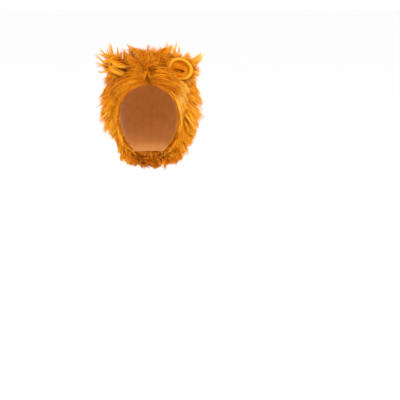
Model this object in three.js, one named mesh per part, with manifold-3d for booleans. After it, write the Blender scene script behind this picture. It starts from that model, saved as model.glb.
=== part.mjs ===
// Pet lion mane wig: a faux-fur hood worn over a large dog's head. Two knit-backed panels meet in
// a seam over the crown and are closed under the chin. Long pile covers their outside, and two
// plush ears with shaggy backs stand on the crown. Millimetres, +Z up, the face looks along -Y,
// and the origin is the highest point inside the hood, where the top of the head touches it.
import * as THREE from "three";
import { mergeVertices } from "three/addons/utils/BufferGeometryUtils.js";
import Module from "manifold-3d";

const wasm = await Module();
wasm.setup();

// Driving dimensions
const HEAD_WIDTH = 156; // inside the hood, between the cheeks
const HOOD_HEIGHT = 238; // inside the hood, crown to throat
const HOOD_DEPTH = 192; // brow edge to neck edge
const BACKING = 2.4; // knit backing with its seam allowance
const CLEARANCE = 0.35; // between pieces that touch on the real wig
const PILE_DEPTH = 17; // the dense, combed-down part of the pile
const LOCK_LENGTH = 68; // longest locks of the mane
const LOCK_WIDTH = 40; // where a lock leaves the combed pile
const LOCK_THICKNESS = 20;
const CHIN_PATCH_LENGTH = 62; // hook-and-loop closure across the throat
const CHIN_PATCH_WIDTH = 34;
const CHIN_PATCH_THICKNESS = 2.2;
const EAR_HALF_WIDTH = 32;
const EAR_HALF_LENGTH = 26;
const EAR_PLUSH = 4.2; // thickness of the plush in the ear's bowl
const EAR_RIM = 9; // diameter of the rolled rim
const EAR_LOCK_LENGTH = 42;
const EAR_LOCK_WIDTH = 24;
const EAR_LOCK_THICKNESS = 11;

// How finely the curved walls and locks are faceted
const TURN_STEPS = 12;
const ALONG_STEPS = 9;
const LOCK_SIDES = 3;
const LOCK_STEPS = 3;
const EAR_STEPS = 16;
const HEAD_REACH = 70; // how far the head's own form runs on past both openings, to keep fur off it

// Sections of the hood from the face edge to the neck edge, each a loop between a top and a bottom
// point. Y as shares of HOOD_DEPTH, Z of HOOD_HEIGHT, width of HEAD_WIDTH. egg widens the loop's
// upper half.
const SECTIONS = [
  { topY: -0.29, topZ: -0.2, bottomY: -0.1, bottomZ: -0.93, width: 0.436, egg: 0.12 },
  { topY: -0.155, topZ: -0.055, bottomY: -0.055, bottomZ: -0.955, width: 0.48, egg: 0.12 },
  { topY: 0, topZ: 0, bottomY: -0.01, bottomZ: -0.97, width: 0.5, egg: 0.12 },
  { topY: 0.25, topZ: -0.055, bottomY: 0.035, bottomZ: -0.98, width: 0.5, egg: 0.12 },
  { topY: 0.5, topZ: -0.17, bottomY: 0.075, bottomZ: -0.99, width: 0.48, egg: 0.1 },
  { topY: 0.67, topZ: -0.47, bottomY: 0.115, bottomZ: -0.995, width: 0.455, egg: 0.06 },
  { topY: 0.7, topZ: -0.96, bottomY: 0.155, bottomZ: -1, width: 0.425, egg: 0.02 },
];
const SQUARENESS = 0.9; // below 1 flattens the hood's top and sides a little

// How the pile lies in each zone. turn is degrees from the crown seam to the throat and along is
// the share of the way from the face edge to the neck edge. panel is 1 for the right panel alone,
// -1 for the left and 0 for both. A lock starts along out (off the cloth), side (away from the
// crown seam) and back (towards the neck), and its tip points along tipOut, tipSide, tipBack and
// down. length is a share of LOCK_LENGTH and depth one of PILE_DEPTH.
const ZONES = [
  // The brow, combed flat from the seam to both sides
  { turn: 10, along: 0, panel: 0, out: 0.15, side: 1, back: 0.15, tipOut: 0.05, tipSide: 1, tipBack: 0.1, down: 0.1, length: 0.55, depth: 0.45 },
  { turn: 55, along: 0, panel: 0, out: 0.2, side: 1, back: 0.25, tipOut: 0.1, tipSide: 0.6, tipBack: 0.3, down: 0.8, length: 0.65, depth: 0.6 },
  // The cheeks, where the tips flick out, and below them the jaw, all fuller on the right
  { turn: 100, along: 0, panel: 1, out: 0.6, side: 0.8, back: 0.3, tipOut: 0.45, tipSide: 0.5, tipBack: 0.2, down: 0.6, length: 0.95, depth: 1 },
  { turn: 100, along: 0, panel: -1, out: 0.55, side: 0.8, back: 0.3, tipOut: 0.4, tipSide: 0.4, tipBack: 0.2, down: 0.6, length: 0.9, depth: 0.8 },
  { turn: 135, along: 0.1, panel: 1, out: 0.5, side: 0.3, back: 0.2, tipOut: 0.35, tipSide: 0, tipBack: 0, down: 1, length: 0.6, depth: 1 },
  { turn: 135, along: 0.1, panel: -1, out: 0.2, side: 0.3, back: 0.1, tipOut: 0, tipSide: 0, tipBack: 0, down: 1, length: 0.5, depth: 0.35 },
  // The throat, short and hanging forward
  { turn: 175, along: 0.2, panel: 0, out: 0.5, side: 0.1, back: -0.4, tipOut: 0.15, tipSide: 0, tipBack: -0.3, down: 1, length: 0.27, depth: 0.5 },
  // The crown, standing up behind the brow and falling back to the nape
  { turn: 10, along: 0.28, panel: 0, out: 1, side: 0.3, back: 0.2, tipOut: 1, tipSide: 0.4, tipBack: 0.3, down: 0, length: 0.72, depth: 0.85 },
  { turn: 15, along: 0.6, panel: 0, out: 0.9, side: 0.25, back: 1, tipOut: 0.3, tipSide: 0.2, tipBack: 0.9, down: 0.4, length: 0.95, depth: 0.8 },
  { turn: 15, along: 1, panel: 0, out: 0.35, side: 0.05, back: 1, tipOut: 0, tipSide: 0, tipBack: 0.9, down: 0.6, length: 0.6, depth: 0.75 },
  // The sides
  { turn: 90, along: 0.5, panel: 1, out: 0.6, side: 0.6, back: 0.5, tipOut: 0.3, tipSide: 0.3, tipBack: 0.4, down: 1, length: 0.95, depth: 1 },
  { turn: 90, along: 0.5, panel: -1, out: 0.5, side: 0.6, back: 0.5, tipOut: 0.1, tipSide: 0.3, tipBack: 0.4, down: 1, length: 0.85, depth: 0.8 },
  { turn: 140, along: 0.7, panel: 1, out: 0.4, side: 0.2, back: 0.3, tipOut: 0.1, tipSide: 0, tipBack: 0.2, down: 1, length: 0.27, depth: 0.7 },
  { turn: 128, along: 0.5, panel: -1, out: 0.1, side: 0.2, back: 0.3, tipOut: 0, tipSide: 0, tipBack: 0.2, down: 1, length: 0.3, depth: 0.3 },
  { turn: 95, along: 1, panel: 0, out: 0.4, side: 0.3, back: 0.8, tipOut: 0.05, tipSide: 0, tipBack: 0.6, down: 0.7, length: 0.26, depth: 0.7 },
];
const ZONE_TURN = 32; // degrees over which one zone's lie passes into the next
const ZONE_ALONG = 0.26;

// Rings of locks on each panel: where they root and how many there are between two turns
const LOCK_RINGS = [
  { along: 0.05, from: 6, to: 172, count: 10 },
  { along: 0.19, from: 14, to: 150, count: 8 },
  { along: 0.28, from: 5, to: 26, count: 2 },
  { along: 0.36, from: 12, to: 118, count: 6 },
  { along: 0.5, from: 8, to: 140, count: 5 },
  { along: 0.65, from: 5, to: 112, count: 6 },
  { along: 0.79, from: 12, to: 140, count: 6 },
  { along: 0.94, from: 5, to: 52, count: 3 },
  { along: 0.93, from: 76, to: 166, count: 4 },
];
const JITTER_TURN = 7; // degrees
const JITTER_ALONG = 0.05;
const JITTER_LENGTH = 0.2;
const JITTER_LEAN = 0.4;

// Each ear: where it roots, the way it points and faces, the radius in mm that its sides curl
// forward to, how far its bowl sinks behind the rim and the combed pile's depth on its back, both
// in mm, and the locks round its back, by their angle from the ear's tip towards its outer side.
// The right ear stands open and the left one is rolled up and points sideways.
const EARS = [
  {
    name: "ear_right",
    side: 1,
    turn: 46.5,
    along: 0.27,
    point: [0.34, 0.1, 0.94],
    face: [0.05, -1, -0.05],
    curl: 62,
    bowl: 7,
    pile: 8,
    locks: [
      { angle: -34, length: 0.8, width: 1, lift: 0.3 },
      { angle: 8, length: 0.6, width: 0.9, lift: 0.2 },
      { angle: 42, length: 1, width: 1.2, lift: 0 },
      { angle: 84, length: 0.65, width: 0.8, lift: -0.1 },
    ],
  },
  {
    name: "ear_left",
    side: -1,
    turn: 30,
    along: 0.25,
    point: [-0.91, 0.1, 0.38],
    face: [-0.1, -0.94, -0.3],
    curl: 12,
    bowl: 1.5,
    pile: 5,
    locks: [
      { angle: -46, length: 0.75, width: 1, lift: 0.3 },
      { angle: -16, length: 0.8, width: 1, lift: 0.1 },
      { angle: 14, length: 0.7, width: 0.9, lift: 0 },
      { angle: 46, length: 0.6, width: 0.8, lift: 0 },
    ],
  },
];
const EAR_SEAT = 0.9; // the ear's middle stands this share of its half length off its root
const EAR_ROOM = 1.15; // no lock roots within this many ear half widths of its middle

const vector = (x, y, z) => new THREE.Vector3(x, y, z);
const radians = THREE.MathUtils.degToRad;
const mix = THREE.MathUtils.lerp;

// A repeatable number from 0 to 1 for each pair of whole numbers.
function scatter(i, j) {
  const wave = Math.sin(i * 12.9898 + j * 78.233) * 43758.5453;
  return wave - Math.floor(wave);
}

// Smooth lines through the sections: their top points, their bottom points, and width and egg.
const smoothLine = (points) => new THREE.CatmullRomCurve3(points, false, "catmullrom", 0.5);
const TOP_LINE = smoothLine(SECTIONS.map((s) => vector(0, s.topY * HOOD_DEPTH, s.topZ * HOOD_HEIGHT)));
const BOTTOM_LINE = smoothLine(
  SECTIONS.map((s) => vector(0, s.bottomY * HOOD_DEPTH, s.bottomZ * HOOD_HEIGHT)),
);
const GIRTH_LINE = smoothLine(SECTIONS.map((s) => vector(s.width * HEAD_WIDTH, s.egg, 0)));

// A point inside the cloth at a turn in degrees, positive to the wearer's left (+X).
function innerPoint(turn, along) {
  const at = THREE.MathUtils.clamp(along, 0, 1);
  const top = TOP_LINE.getPoint(at);
  const bottom = BOTTOM_LINE.getPoint(at);
  const girth = GIRTH_LINE.getPoint(at);
  const sine = Math.sin(radians(turn));
  const cosine = Math.cos(radians(turn));
  const across = Math.sign(sine) * Math.abs(sine) ** SQUARENESS * (1 + girth.y * cosine);
  return top.clone().lerp(bottom, (1 - cosine) / 2).setX(girth.x * across);
}

// The directions at a point of the cloth: out of it, away from the crown seam and to the neck.
function clothFrame(turn, along) {
  const step = 0.01;
  const sideways = turn < 0 ? -1 : 1;
  const side = innerPoint(turn + sideways, along).sub(innerPoint(turn - sideways, along)).normalize();
  const back = innerPoint(turn, along + step).sub(innerPoint(turn, along - step)).normalize();
  const out = vector().crossVectors(side, back).multiplyScalar(sideways).normalize();
  return { out, side, back };
}

// The same point moved off the cloth's inside by a distance.
function hoodPoint(turn, along, distance) {
  return innerPoint(turn, along).addScaledVector(clothFrame(turn, along).out, distance);
}

// How the pile lies at a point: the zones' rows, weighted by how near each zone is.
function pileLie(turn, along) {
  const lie = { out: 0, side: 0, back: 0, tipOut: 0, tipSide: 0, tipBack: 0, down: 0, length: 0, depth: 0 };
  let total = 0;
  for (const zone of ZONES) {
    if (zone.panel * turn < 0) continue;
    const away = ((Math.abs(turn) - zone.turn) / ZONE_TURN) ** 2 + ((along - zone.along) / ZONE_ALONG) ** 2;
    const weight = Math.exp(-away);
    total += weight;
    for (const key in lie) lie[key] += weight * zone[key];
  }
  for (const key in lie) lie[key] /= total;
  return lie;
}

// The depth of the combed pile: uneven, and thinner towards both edges of the hood.
function pileDepth(turn, along) {
  const edge = Math.min(along, 1 - along) / 0.16;
  const tuft = mix(0.75, 1.25, scatter(Math.round(turn), Math.round(along * 100)));
  return PILE_DEPTH * tuft * pileLie(turn, along).depth * mix(0.35, 1, Math.min(1, edge));
}

// The faces between rows of points, each row a closed loop of count points. turned says for which
// places of the loop a quad is split along its other diagonal.
function gridFaces(rowCount, count, turned = () => false) {
  const faces = [];
  for (let i = 0; i + 1 < rowCount; i++)
    for (let k = 0; k < count; k++) {
      const a = i * count + k;
      const b = i * count + ((k + 1) % count);
      if (turned(k)) faces.push(a, b, a + count, b, b + count, a + count);
      else faces.push(a, b, b + count, a, b + count, a + count);
    }
  return faces;
}

// A closed solid from rows of points, both ends filled by a fan round their middle.
function loftSolid(rows, turned) {
  const count = rows[0].length;
  const positions = rows.flat().flatMap((p) => p.toArray());
  const faces = gridFaces(rows.length, count, turned);
  const cap = (row, start, forward) => {
    const middle = positions.length / 3;
    positions.push(...row.reduce((sum, p) => sum.add(p), vector()).divideScalar(count).toArray());
    for (let k = 0; k < count; k++) {
      const pair = [start + k, start + ((k + 1) % count)];
      if (forward) pair.reverse();
      faces.push(...pair, middle);
    }
  };
  cap(rows[0], 0, true);
  cap(rows.at(-1), (rows.length - 1) * count, false);
  return closedSolid(positions, faces);
}

// A solid from points and faces, turned the right way out.
function closedSolid(positions, faces) {
  const geometry = new THREE.BufferGeometry()
    .setAttribute("position", new THREE.Float32BufferAttribute(positions, 3))
    .setIndex(faces);
  const merged = mergeVertices(geometry, 1e-4);
  const make = (triVerts) =>
    new wasm.Manifold(
      new wasm.Mesh({ numProp: 3, vertProperties: merged.attributes.position.array, triVerts }),
    );
  const triVerts = new Uint32Array(merged.index.array);
  const solid = make(triVerts);
  return solid.volume() < 0 ? make(triVerts.reverse()) : solid;
}

// A wall between two surfaces over a stretch of the hood, closed along its edges. inner and
// outer give a distance off the inside of the cloth.
function wallSolid(turns, alongs, inner, outer) {
  const rows = alongs.map((along) => [
    ...turns.map((turn) => hoodPoint(turn, along, inner(turn, along))),
    ...turns.toReversed().map((turn) => hoodPoint(turn, along, outer(turn, along))),
  ]);
  const count = turns.length * 2;
  const positions = rows.flat().flatMap((p) => p.toArray());
  const faces = gridFaces(rows.length, count, (k) => k >= turns.length);
  for (const [start, flip] of [
    [0, false],
    [(rows.length - 1) * count, true],
  ])
    for (let k = 0; k + 1 < turns.length; k++) {
      const quad = [start + k, start + k + 1, start + count - 2 - k, start + count - 1 - k];
      if (flip) quad.reverse();
      faces.push(quad[0], quad[2], quad[1], quad[0], quad[3], quad[2]);
    }
  return closedSolid(positions, faces);
}

const steps = (from, to, count) => Array.from({ length: count + 1 }, (_, i) => mix(from, to, i / count));

// The turns of a panel stop just short of the seam, by half the clearance on the cloth.
function panelTurns(side) {
  const seam = THREE.MathUtils.radToDeg((CLEARANCE / HEAD_WIDTH) ** (1 / SQUARENESS));
  return steps(seam * side, (180 - seam) * side, TURN_STEPS);
}
const ALONGS = steps(0, 1, ALONG_STEPS);

// The head's own form, out to a distance off the inside of the cloth, and on through the face and
// neck openings.
function headForm(distance) {
  const loop = steps(0, 360, TURN_STEPS * 2).slice(0, -1).map((turn) => (turn > 180 ? turn - 360 : turn));
  const rows = ALONGS.map((along) => loop.map((turn) => hoodPoint(turn, along, distance)));
  const onward = (along, away) => {
    const top = TOP_LINE.getPoint(along);
    const bottom = BOTTOM_LINE.getPoint(along);
    const chord = top.sub(bottom).normalize();
    return vector(0, chord.z, -chord.y).multiplyScalar(away);
  };
  const moved = (row, by) => row.map((p) => p.clone().add(by));
  return loftSolid([
    moved(rows[0], onward(0, -HEAD_REACH)),
    ...rows,
    moved(rows.at(-1), onward(1, HEAD_REACH)),
  ], (k) => k >= TURN_STEPS);
}

// A lock of fur: a flattened horn on a bent path from root, along first and then along last, its
// width across the direction flat. grow thickens and lengthens it all round.
function lockSolid({ root, first, last, flat, length, width, thickness, grow = 0 }) {
  const path = new THREE.QuadraticBezierCurve3(
    root,
    root.clone().addScaledVector(first, length * 0.5),
    root.clone().addScaledVector(first, length * 0.5).addScaledVector(last, length * 0.5 + grow),
  );
  const rows = steps(0, 0.97, LOCK_STEPS).map((t) => {
    const middle = path.getPoint(t);
    const tangent = path.getTangent(t);
    const up = vector().crossVectors(flat, tangent).normalize();
    const across = vector().crossVectors(tangent, up).normalize();
    const fullness = (1 + 0.5 * t) * (1 - t) ** 0.72;
    return steps(0, 360, LOCK_SIDES).slice(0, -1).map((angle) =>
      middle
        .clone()
        .addScaledVector(across, Math.sin(radians(angle)) * ((width / 2) * fullness + grow))
        .addScaledVector(up, Math.cos(radians(angle)) * ((thickness / 2) * fullness + grow)),
    );
  });
  return loftSolid(rows);
}

// The main body of a solid, without the crumbs that a cut may leave.
const mainBody = (solid) =>
  solid.decompose().reduce((best, body) => (body.volume() > best.volume() ? body : best));

const joined = (solids) => solids.reduce((all, solid) => all.add(solid));

// One panel's locks, each rooted in the combed pile.
function maneLocks(side) {
  const locks = [];
  LOCK_RINGS.forEach((ring, r) => {
    for (let k = 0; k < ring.count; k++) {
      const id = r * 20 + k + (side > 0 ? 0 : 500);
      const swing = (seed) => scatter(id, seed) * 2 - 1;
      const turn = side * (mix(ring.from, ring.to, k / (ring.count - 1)) + JITTER_TURN * swing(1));
      const along = THREE.MathUtils.clamp(ring.along + JITTER_ALONG * swing(2), 0.03, 0.97);
      const { out, side: away, back } = clothFrame(turn, along);
      const lie = pileLie(turn, along);
      const root = hoodPoint(turn, along, BACKING + pileDepth(turn, along) * 0.75);
      const nearEar = EARS.some((ear) => root.distanceTo(earFrame(ear).middle) < EAR_HALF_WIDTH * EAR_ROOM);
      if (nearEar) continue;
      const first = vector()
        .addScaledVector(out, lie.out)
        .addScaledVector(away, lie.side + JITTER_LEAN * 0.5 * swing(3))
        .addScaledVector(back, lie.back)
        .normalize();
      const last = vector(0, 0, -lie.down)
        .addScaledVector(out, lie.tipOut)
        .addScaledVector(away, lie.tipSide + JITTER_LEAN * swing(4))
        .addScaledVector(back, lie.tipBack + JITTER_LEAN * swing(5))
        .normalize();
      locks.push(
        lockSolid({
          root,
          first,
          last,
          flat: vector().crossVectors(first, out).addScaledVector(away, 0.3).normalize(),
          length: LOCK_LENGTH * lie.length * (1 + JITTER_LENGTH * swing(6)),
          width: LOCK_WIDTH,
          thickness: LOCK_THICKNESS,
        }),
      );
    }
  });
  return joined(locks);
}

// The half space of one panel, up to half the clearance from the seam.
function panelSpace(side) {
  const reach = 2 * (HEAD_WIDTH + HOOD_HEIGHT + HOOD_DEPTH);
  const half = new THREE.BoxGeometry(reach, reach, reach);
  half.translate(side * (reach / 2 + CLEARANCE / 2), 0, 0);
  half.deleteAttribute("normal");
  half.deleteAttribute("uv");
  return closedSolid([...half.attributes.position.array], [...half.index.array]);
}

// An ear's own axes: its root on the cloth, the way it points, the way its bowl faces, its side.
function earFrame(ear) {
  const root = hoodPoint(ear.side * ear.turn, ear.along, BACKING);
  const point = vector(...ear.point).normalize();
  const across = vector().crossVectors(point, vector(...ear.face)).normalize();
  const face = vector().crossVectors(across, point);
  const middle = root.clone().addScaledVector(point, EAR_HALF_LENGTH * EAR_SEAT);
  return { middle, point, across, face };
}

// A point of an ear: at a share r of its outline at an angle from its tip, a height towards its
// face. Its sides curl forward on the ear's curl radius.
function earPoint(ear, frame, r, angle, height) {
  const sideways = r * EAR_HALF_WIDTH * Math.sin(angle);
  const upwards = r * EAR_HALF_LENGTH * Math.cos(angle);
  const bend = sideways / ear.curl;
  return frame.middle
    .clone()
    .addScaledVector(frame.across, ear.side * (ear.curl - height) * Math.sin(bend))
    .addScaledVector(frame.point, upwards)
    .addScaledVector(frame.face, ear.curl - (ear.curl - height) * Math.cos(bend));
}

// A solid of revolution round the ear's bowl, by its profile from the front pole to the back.
function earSolid(ear, profile) {
  const frame = earFrame(ear);
  const angles = steps(0, Math.PI * 2, EAR_STEPS).slice(0, -1);
  return loftSolid(profile.map(([r, height]) => angles.map((a) => earPoint(ear, frame, r, a, height))));
}

// The plush cup: a bowl with a rolled rim. grow thickens it all round.
function earCup(ear, grow = 0) {
  const rim = EAR_RIM / 2 + grow;
  const rimShare = 1 - EAR_RIM / 2 / EAR_HALF_WIDTH; // the middle of the rolled rim
  const reach = rim / EAR_HALF_WIDTH;
  const front = -ear.bowl + grow;
  const back = -ear.bowl - EAR_PLUSH - grow;
  return earSolid(ear, [
    [0.06, front],
    [0.42, mix(front, 0, 0.12)],
    [rimShare - reach * 1.05, mix(front, 0, 0.55)],
    [rimShare - reach * 0.6, rim * 0.8],
    [rimShare, rim],
    [rimShare + reach * 0.75, rim * 0.7],
    [rimShare + reach, 0],
    [rimShare + reach * 0.75, -rim * 0.75],
    [rimShare - reach * 0.3, mix(back, 0, 0.3)],
    [0.5, mix(back, 0, 0.08)],
    [0.06, back],
  ]);
}

// The shaggy back of an ear: combed pile behind the cup, with locks round it.
function earBack(ear, grow = 0) {
  const frame = earFrame(ear);
  const behind = -ear.bowl - EAR_PLUSH;
  const pad = earSolid(ear, [
    [0.06, behind + EAR_PLUSH / 2],
    [0.8, behind / 2],
    [0.94 + grow / EAR_HALF_WIDTH, -EAR_RIM * 0.3 + grow],
    [0.86 + grow / EAR_HALF_WIDTH, behind - ear.pile * 0.5 - grow],
    [0.5, behind - ear.pile * 0.9 - grow],
    [0.06, behind - ear.pile - grow],
  ]);
  const locks = ear.locks.map(({ angle, length, width, lift }) => {
    const root = earPoint(ear, frame, 0.6, radians(angle), behind - ear.pile * 0.4);
    const rim = earPoint(ear, frame, 1, radians(angle), behind / 2);
    const outward = rim.clone().sub(root).normalize();
    return lockSolid({
      root,
      first: outward,
      last: outward.clone().addScaledVector(vector(0, 0, 1), lift).normalize(),
      flat: vector().crossVectors(outward, frame.face).normalize(),
      length: EAR_LOCK_LENGTH * length + EAR_HALF_LENGTH * 0.4,
      width: EAR_LOCK_WIDTH * width,
      thickness: EAR_LOCK_THICKNESS,
      grow,
    });
  });
  return joined([pad, ...locks]);
}

// The hook-and-loop patch inside the throat, across the ends of both panels.
function chinPatch() {
  const perDegree = innerPoint(179, 0.5).distanceTo(innerPoint(180, 0.5));
  const halfTurn = CHIN_PATCH_LENGTH / 2 / perDegree;
  const throat = BOTTOM_LINE.getLength();
  const halfAlong = CHIN_PATCH_WIDTH / 2 / throat;
  const turns = steps(180 - halfTurn, 180 + halfTurn, 6);
  const wrapped = turns.map((turn) => (turn > 180 ? turn - 360 : turn));
  const alongs = steps(0.5 - halfAlong, 0.5 + halfAlong, 2);
  return wallSolid(wrapped, alongs, () => -CLEARANCE - CHIN_PATCH_THICKNESS, () => BACKING).intersect(
    headForm(-CLEARANCE),
  );
}

// Materials
const cloth = (color, roughness) => new THREE.MeshStandardMaterial({ color, roughness, metalness: 0 });
const BACKING_CLOTH = cloth(0xa8672a, 0.95);
const MANE_PILE = cloth(0xd9822b, 0.8);
const EAR_PLUSH_CLOTH = cloth(0xf2a530, 0.85);
const CLOSURE_TAPE = cloth(0x7a4a20, 0.9);

const wig = new THREE.Group();
function add(name, solid, material) {
  const { vertProperties, triVerts } = mainBody(solid).getMesh();
  const geometry = new THREE.BufferGeometry()
    .setAttribute("position", new THREE.BufferAttribute(vertProperties, 3))
    .setIndex(new THREE.BufferAttribute(triVerts, 1));
  const mesh = new THREE.Mesh(geometry, material);
  mesh.name = name;
  wig.add(mesh);
}

const pileFloor = BACKING + CLEARANCE;
const clothForm = headForm(pileFloor);
const lockRoom = headForm(pileFloor + PILE_DEPTH * 0.15);

for (const ear of EARS) {
  const cup = earCup(ear).subtract(clothForm);
  const back = earBack(ear).subtract(earCup(ear, CLEARANCE)).subtract(clothForm);
  const half = ear.side > 0 ? "right" : "left";
  const turns = panelTurns(ear.side);
  const hood = wallSolid(turns, ALONGS, () => 0, () => BACKING);
  const pile = wallSolid(turns, ALONGS, () => pileFloor, (t, a) => BACKING + Math.max(pileDepth(t, a), 3));
  const mane = pile
    .add(maneLocks(ear.side).subtract(lockRoom).intersect(panelSpace(ear.side)))
    .subtract(earCup(ear, CLEARANCE))
    .subtract(earBack(ear, CLEARANCE));
  add(`hood_${half}`, hood, BACKING_CLOTH);
  add(`mane_${half}`, mane, MANE_PILE);
  add(`${ear.name}_cup`, cup, EAR_PLUSH_CLOTH);
  add(`${ear.name}_back`, back, MANE_PILE);
}
add("chin_patch", chinPatch(), CLOSURE_TAPE);

export default wig;
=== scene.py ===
"""Looks of the pet lion mane wig.

The knit backing, the combed pile, the locks, the plush ears and the closure tape are surfaces
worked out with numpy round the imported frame. Metres, +Z up, the face looks along -Y, and the
origin is the highest point inside the hood.
"""
import logging
import math
from dataclasses import dataclass
from enum import Enum
from typing import NamedTuple

import bpy
import numpy as np
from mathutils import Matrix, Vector


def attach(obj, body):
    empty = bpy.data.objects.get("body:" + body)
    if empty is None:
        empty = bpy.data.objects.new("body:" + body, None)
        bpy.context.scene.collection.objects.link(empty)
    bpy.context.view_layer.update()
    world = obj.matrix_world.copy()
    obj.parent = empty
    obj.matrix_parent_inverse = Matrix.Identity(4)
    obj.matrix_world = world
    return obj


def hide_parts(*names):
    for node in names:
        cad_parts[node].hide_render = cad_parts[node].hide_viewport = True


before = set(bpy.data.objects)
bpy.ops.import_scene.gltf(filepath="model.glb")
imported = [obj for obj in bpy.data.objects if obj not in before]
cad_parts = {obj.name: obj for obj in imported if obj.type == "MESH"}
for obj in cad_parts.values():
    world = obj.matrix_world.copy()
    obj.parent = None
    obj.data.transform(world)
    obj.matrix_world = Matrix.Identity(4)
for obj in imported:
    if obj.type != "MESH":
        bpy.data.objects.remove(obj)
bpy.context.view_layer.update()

Array = np.ndarray
LOG = logging.getLogger("lion_mane_wig")
MM = 0.001
UP = np.array([0.0, 0.0, 1.0])
BODY = "root"


class Side(Enum):
    """The two panels of the wig, named as a viewer in front sees them."""

    RIGHT = 1
    LEFT = -1

    @property
    def word(self) -> str:
        """The side's name inside piece and node names."""
        return self.name.lower()


class Slot(Enum):
    """Material slots of the record."""

    BACKING = "backing"
    PILE = "mane_pile"
    EAR = "ear_plush"
    TAPE = "closure_tape"


class Group(Enum):
    """Groups of tufts in the combed pile: the even cover, then those that a place has besides."""

    COVER = 0
    BROW = 1
    SEAM = 2
    NAPE = 3
    NECK = 4
    FACE = 5


class Section(NamedTuple):
    """One loop of the hood: its top and bottom point, half width and egg shape, as shares."""

    top_y: float
    top_z: float
    bottom_y: float
    bottom_z: float
    width: float
    egg: float


class Zone(NamedTuple):
    """How the pile lies round one place of the hood, by turn in degrees and share along."""

    turn: float
    along: float
    panel: int
    out: float
    side: float
    back: float
    tip_out: float
    tip_side: float
    tip_back: float
    down: float
    length: float
    depth: float
    tone: float


class Patch(NamedTuple):
    """A patch of the pile painted paler or deeper, partly as painted light and shade, by its middle
    and its reach.
    """

    turn: float
    along: float
    reach_turn: float
    reach_along: float
    tone: float


class Wisp(NamedTuple):
    """A thin standing tuft, from its root to its tip, in millimetres."""

    root_x: float
    root_y: float
    root_z: float
    tip_x: float
    tip_y: float
    tip_z: float
    width: float
    tone: float


class Hang(NamedTuple):
    """How low the fur hangs at one place across, both in mm, the height as the camera sees it."""

    across: float
    height: float


class LockRing(NamedTuple):
    """A ring of locks on a panel: where it runs and how many locks it holds."""

    along: float
    start: float
    end: float
    count: int


class TuftGroup(NamedTuple):
    """Tufts that a place of a panel has besides the cover: how many, and where they root."""

    group: Group
    count: int
    turn: tuple[float, float]
    along: tuple[float, float]


class Fold(NamedTuple):
    """A swell or crease of an ear's bowl: middle and reach as shares, rise in mm, and painted shade
    below 0 and painted light above 0.
    """

    side: float
    up: float
    slope: float
    reach_side: float
    reach_up: float
    rise: float
    shade: float


class EarLock(NamedTuple):
    """A lock on the back of an ear, by its angle from the tip towards the outer side."""

    angle: float
    length: float
    width: float
    lift: float


SECTIONS = (
    Section(-0.29, -0.2, -0.1, -0.93, 0.436, 0.12),
    Section(-0.155, -0.055, -0.055, -0.955, 0.48, 0.12),
    Section(0, 0, -0.01, -0.97, 0.5, 0.12),
    Section(0.25, -0.055, 0.035, -0.98, 0.5, 0.12),
    Section(0.5, -0.17, 0.075, -0.99, 0.48, 0.1),
    Section(0.67, -0.47, 0.115, -0.995, 0.455, 0.06),
    Section(0.7, -0.96, 0.155, -1, 0.425, 0.02),
)

# The tone column is partly the pile's own tone and partly painted light and shade: paler where
# light falls, deeper underneath
ZONES = (
    # The brow, combed flat from the seam to both sides
    Zone(10, 0, 1, 0.15, 1, 0.15, 0.05, 1, 0.1, 0.1, 0.55, 0.45, 0.22),
    Zone(10, 0, -1, 0.15, 1, 0.15, 0.05, 1, 0.1, 0.1, 0.55, 0.45, 0.28),
    Zone(55, 0, 1, 0.2, 1, 0.25, 0.1, 0.6, 0.3, 0.8, 0.65, 0.6, 0.66),
    Zone(55, 0, -1, 0.2, 1, 0.25, 0.1, 0.6, 0.3, 0.8, 0.65, 0.6, 0.42),
    # The cheeks and the jaw, fuller on the right
    Zone(100, 0, 1, 0.6, 0.8, 0.3, 0.45, 0.5, 0.2, 0.6, 0.95, 1, 0.5),
    Zone(100, 0, -1, 0.55, 0.8, 0.3, 0.4, 0.4, 0.2, 0.6, 0.9, 0.8, 0.56),
    Zone(135, 0.1, 1, 0.5, 0.3, 0.2, 0.35, 0, 0, 1, 0.6, 1, 0.36),
    Zone(135, 0.1, -1, 0.2, 0.3, 0.1, 0, 0, 0, 1, 0.5, 0.35, 0.3),
    # The throat, its tone painted deeper, partly as shade under the chin
    Zone(175, 0.2, 0, 0.5, 0.1, -0.4, 0.15, 0, -0.3, 1, 0.27, 0.5, 0.02),
    # The crown, standing up behind the brow and falling back to the nape
    Zone(10, 0.28, 0, 1, 0.3, 0.2, 1, 0.4, 0.3, 0, 0.72, 0.85, 0.42),
    Zone(15, 0.6, 0, 0.9, 0.25, 1, 0.3, 0.2, 0.9, 0.4, 0.95, 0.8, 0.5),
    Zone(15, 1, 0, 0.35, 0.05, 1, 0, 0, 0.9, 0.6, 0.6, 0.75, 0.46),
    # The sides
    Zone(90, 0.5, 1, 0.6, 0.6, 0.5, 0.3, 0.3, 0.4, 1, 0.95, 1, 0.6),
    Zone(90, 0.5, -1, 0.5, 0.6, 0.5, 0.1, 0.3, 0.4, 1, 0.85, 0.8, 0.52),
    Zone(140, 0.7, 1, 0.4, 0.2, 0.3, 0.1, 0, 0.2, 1, 0.27, 0.7, 0.44),
    Zone(128, 0.5, -1, 0.1, 0.2, 0.3, 0, 0, 0.2, 1, 0.3, 0.3, 0.46),
    Zone(95, 1, 0, 0.4, 0.3, 0.8, 0.05, 0, 0.6, 0.7, 0.26, 0.7, 0.5),
)

# Patches of the pile painted paler or deeper, partly as painted light and shade and partly by the
# lie of the pile
PATCHES = (
    Patch(-9, 0.02, 9, 0.05, 0.16),
    Patch(20, 0.24, 9, 0.06, -0.34),
    Patch(1, 0.14, 4, 0.07, 0.14),
    Patch(-30, 0.2, 10, 0.06, -0.2),
    Patch(38, 0.07, 15, 0.12, 0.56),
    Patch(-100, 0.1, 30, 0.2, 0.06),
)

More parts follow.
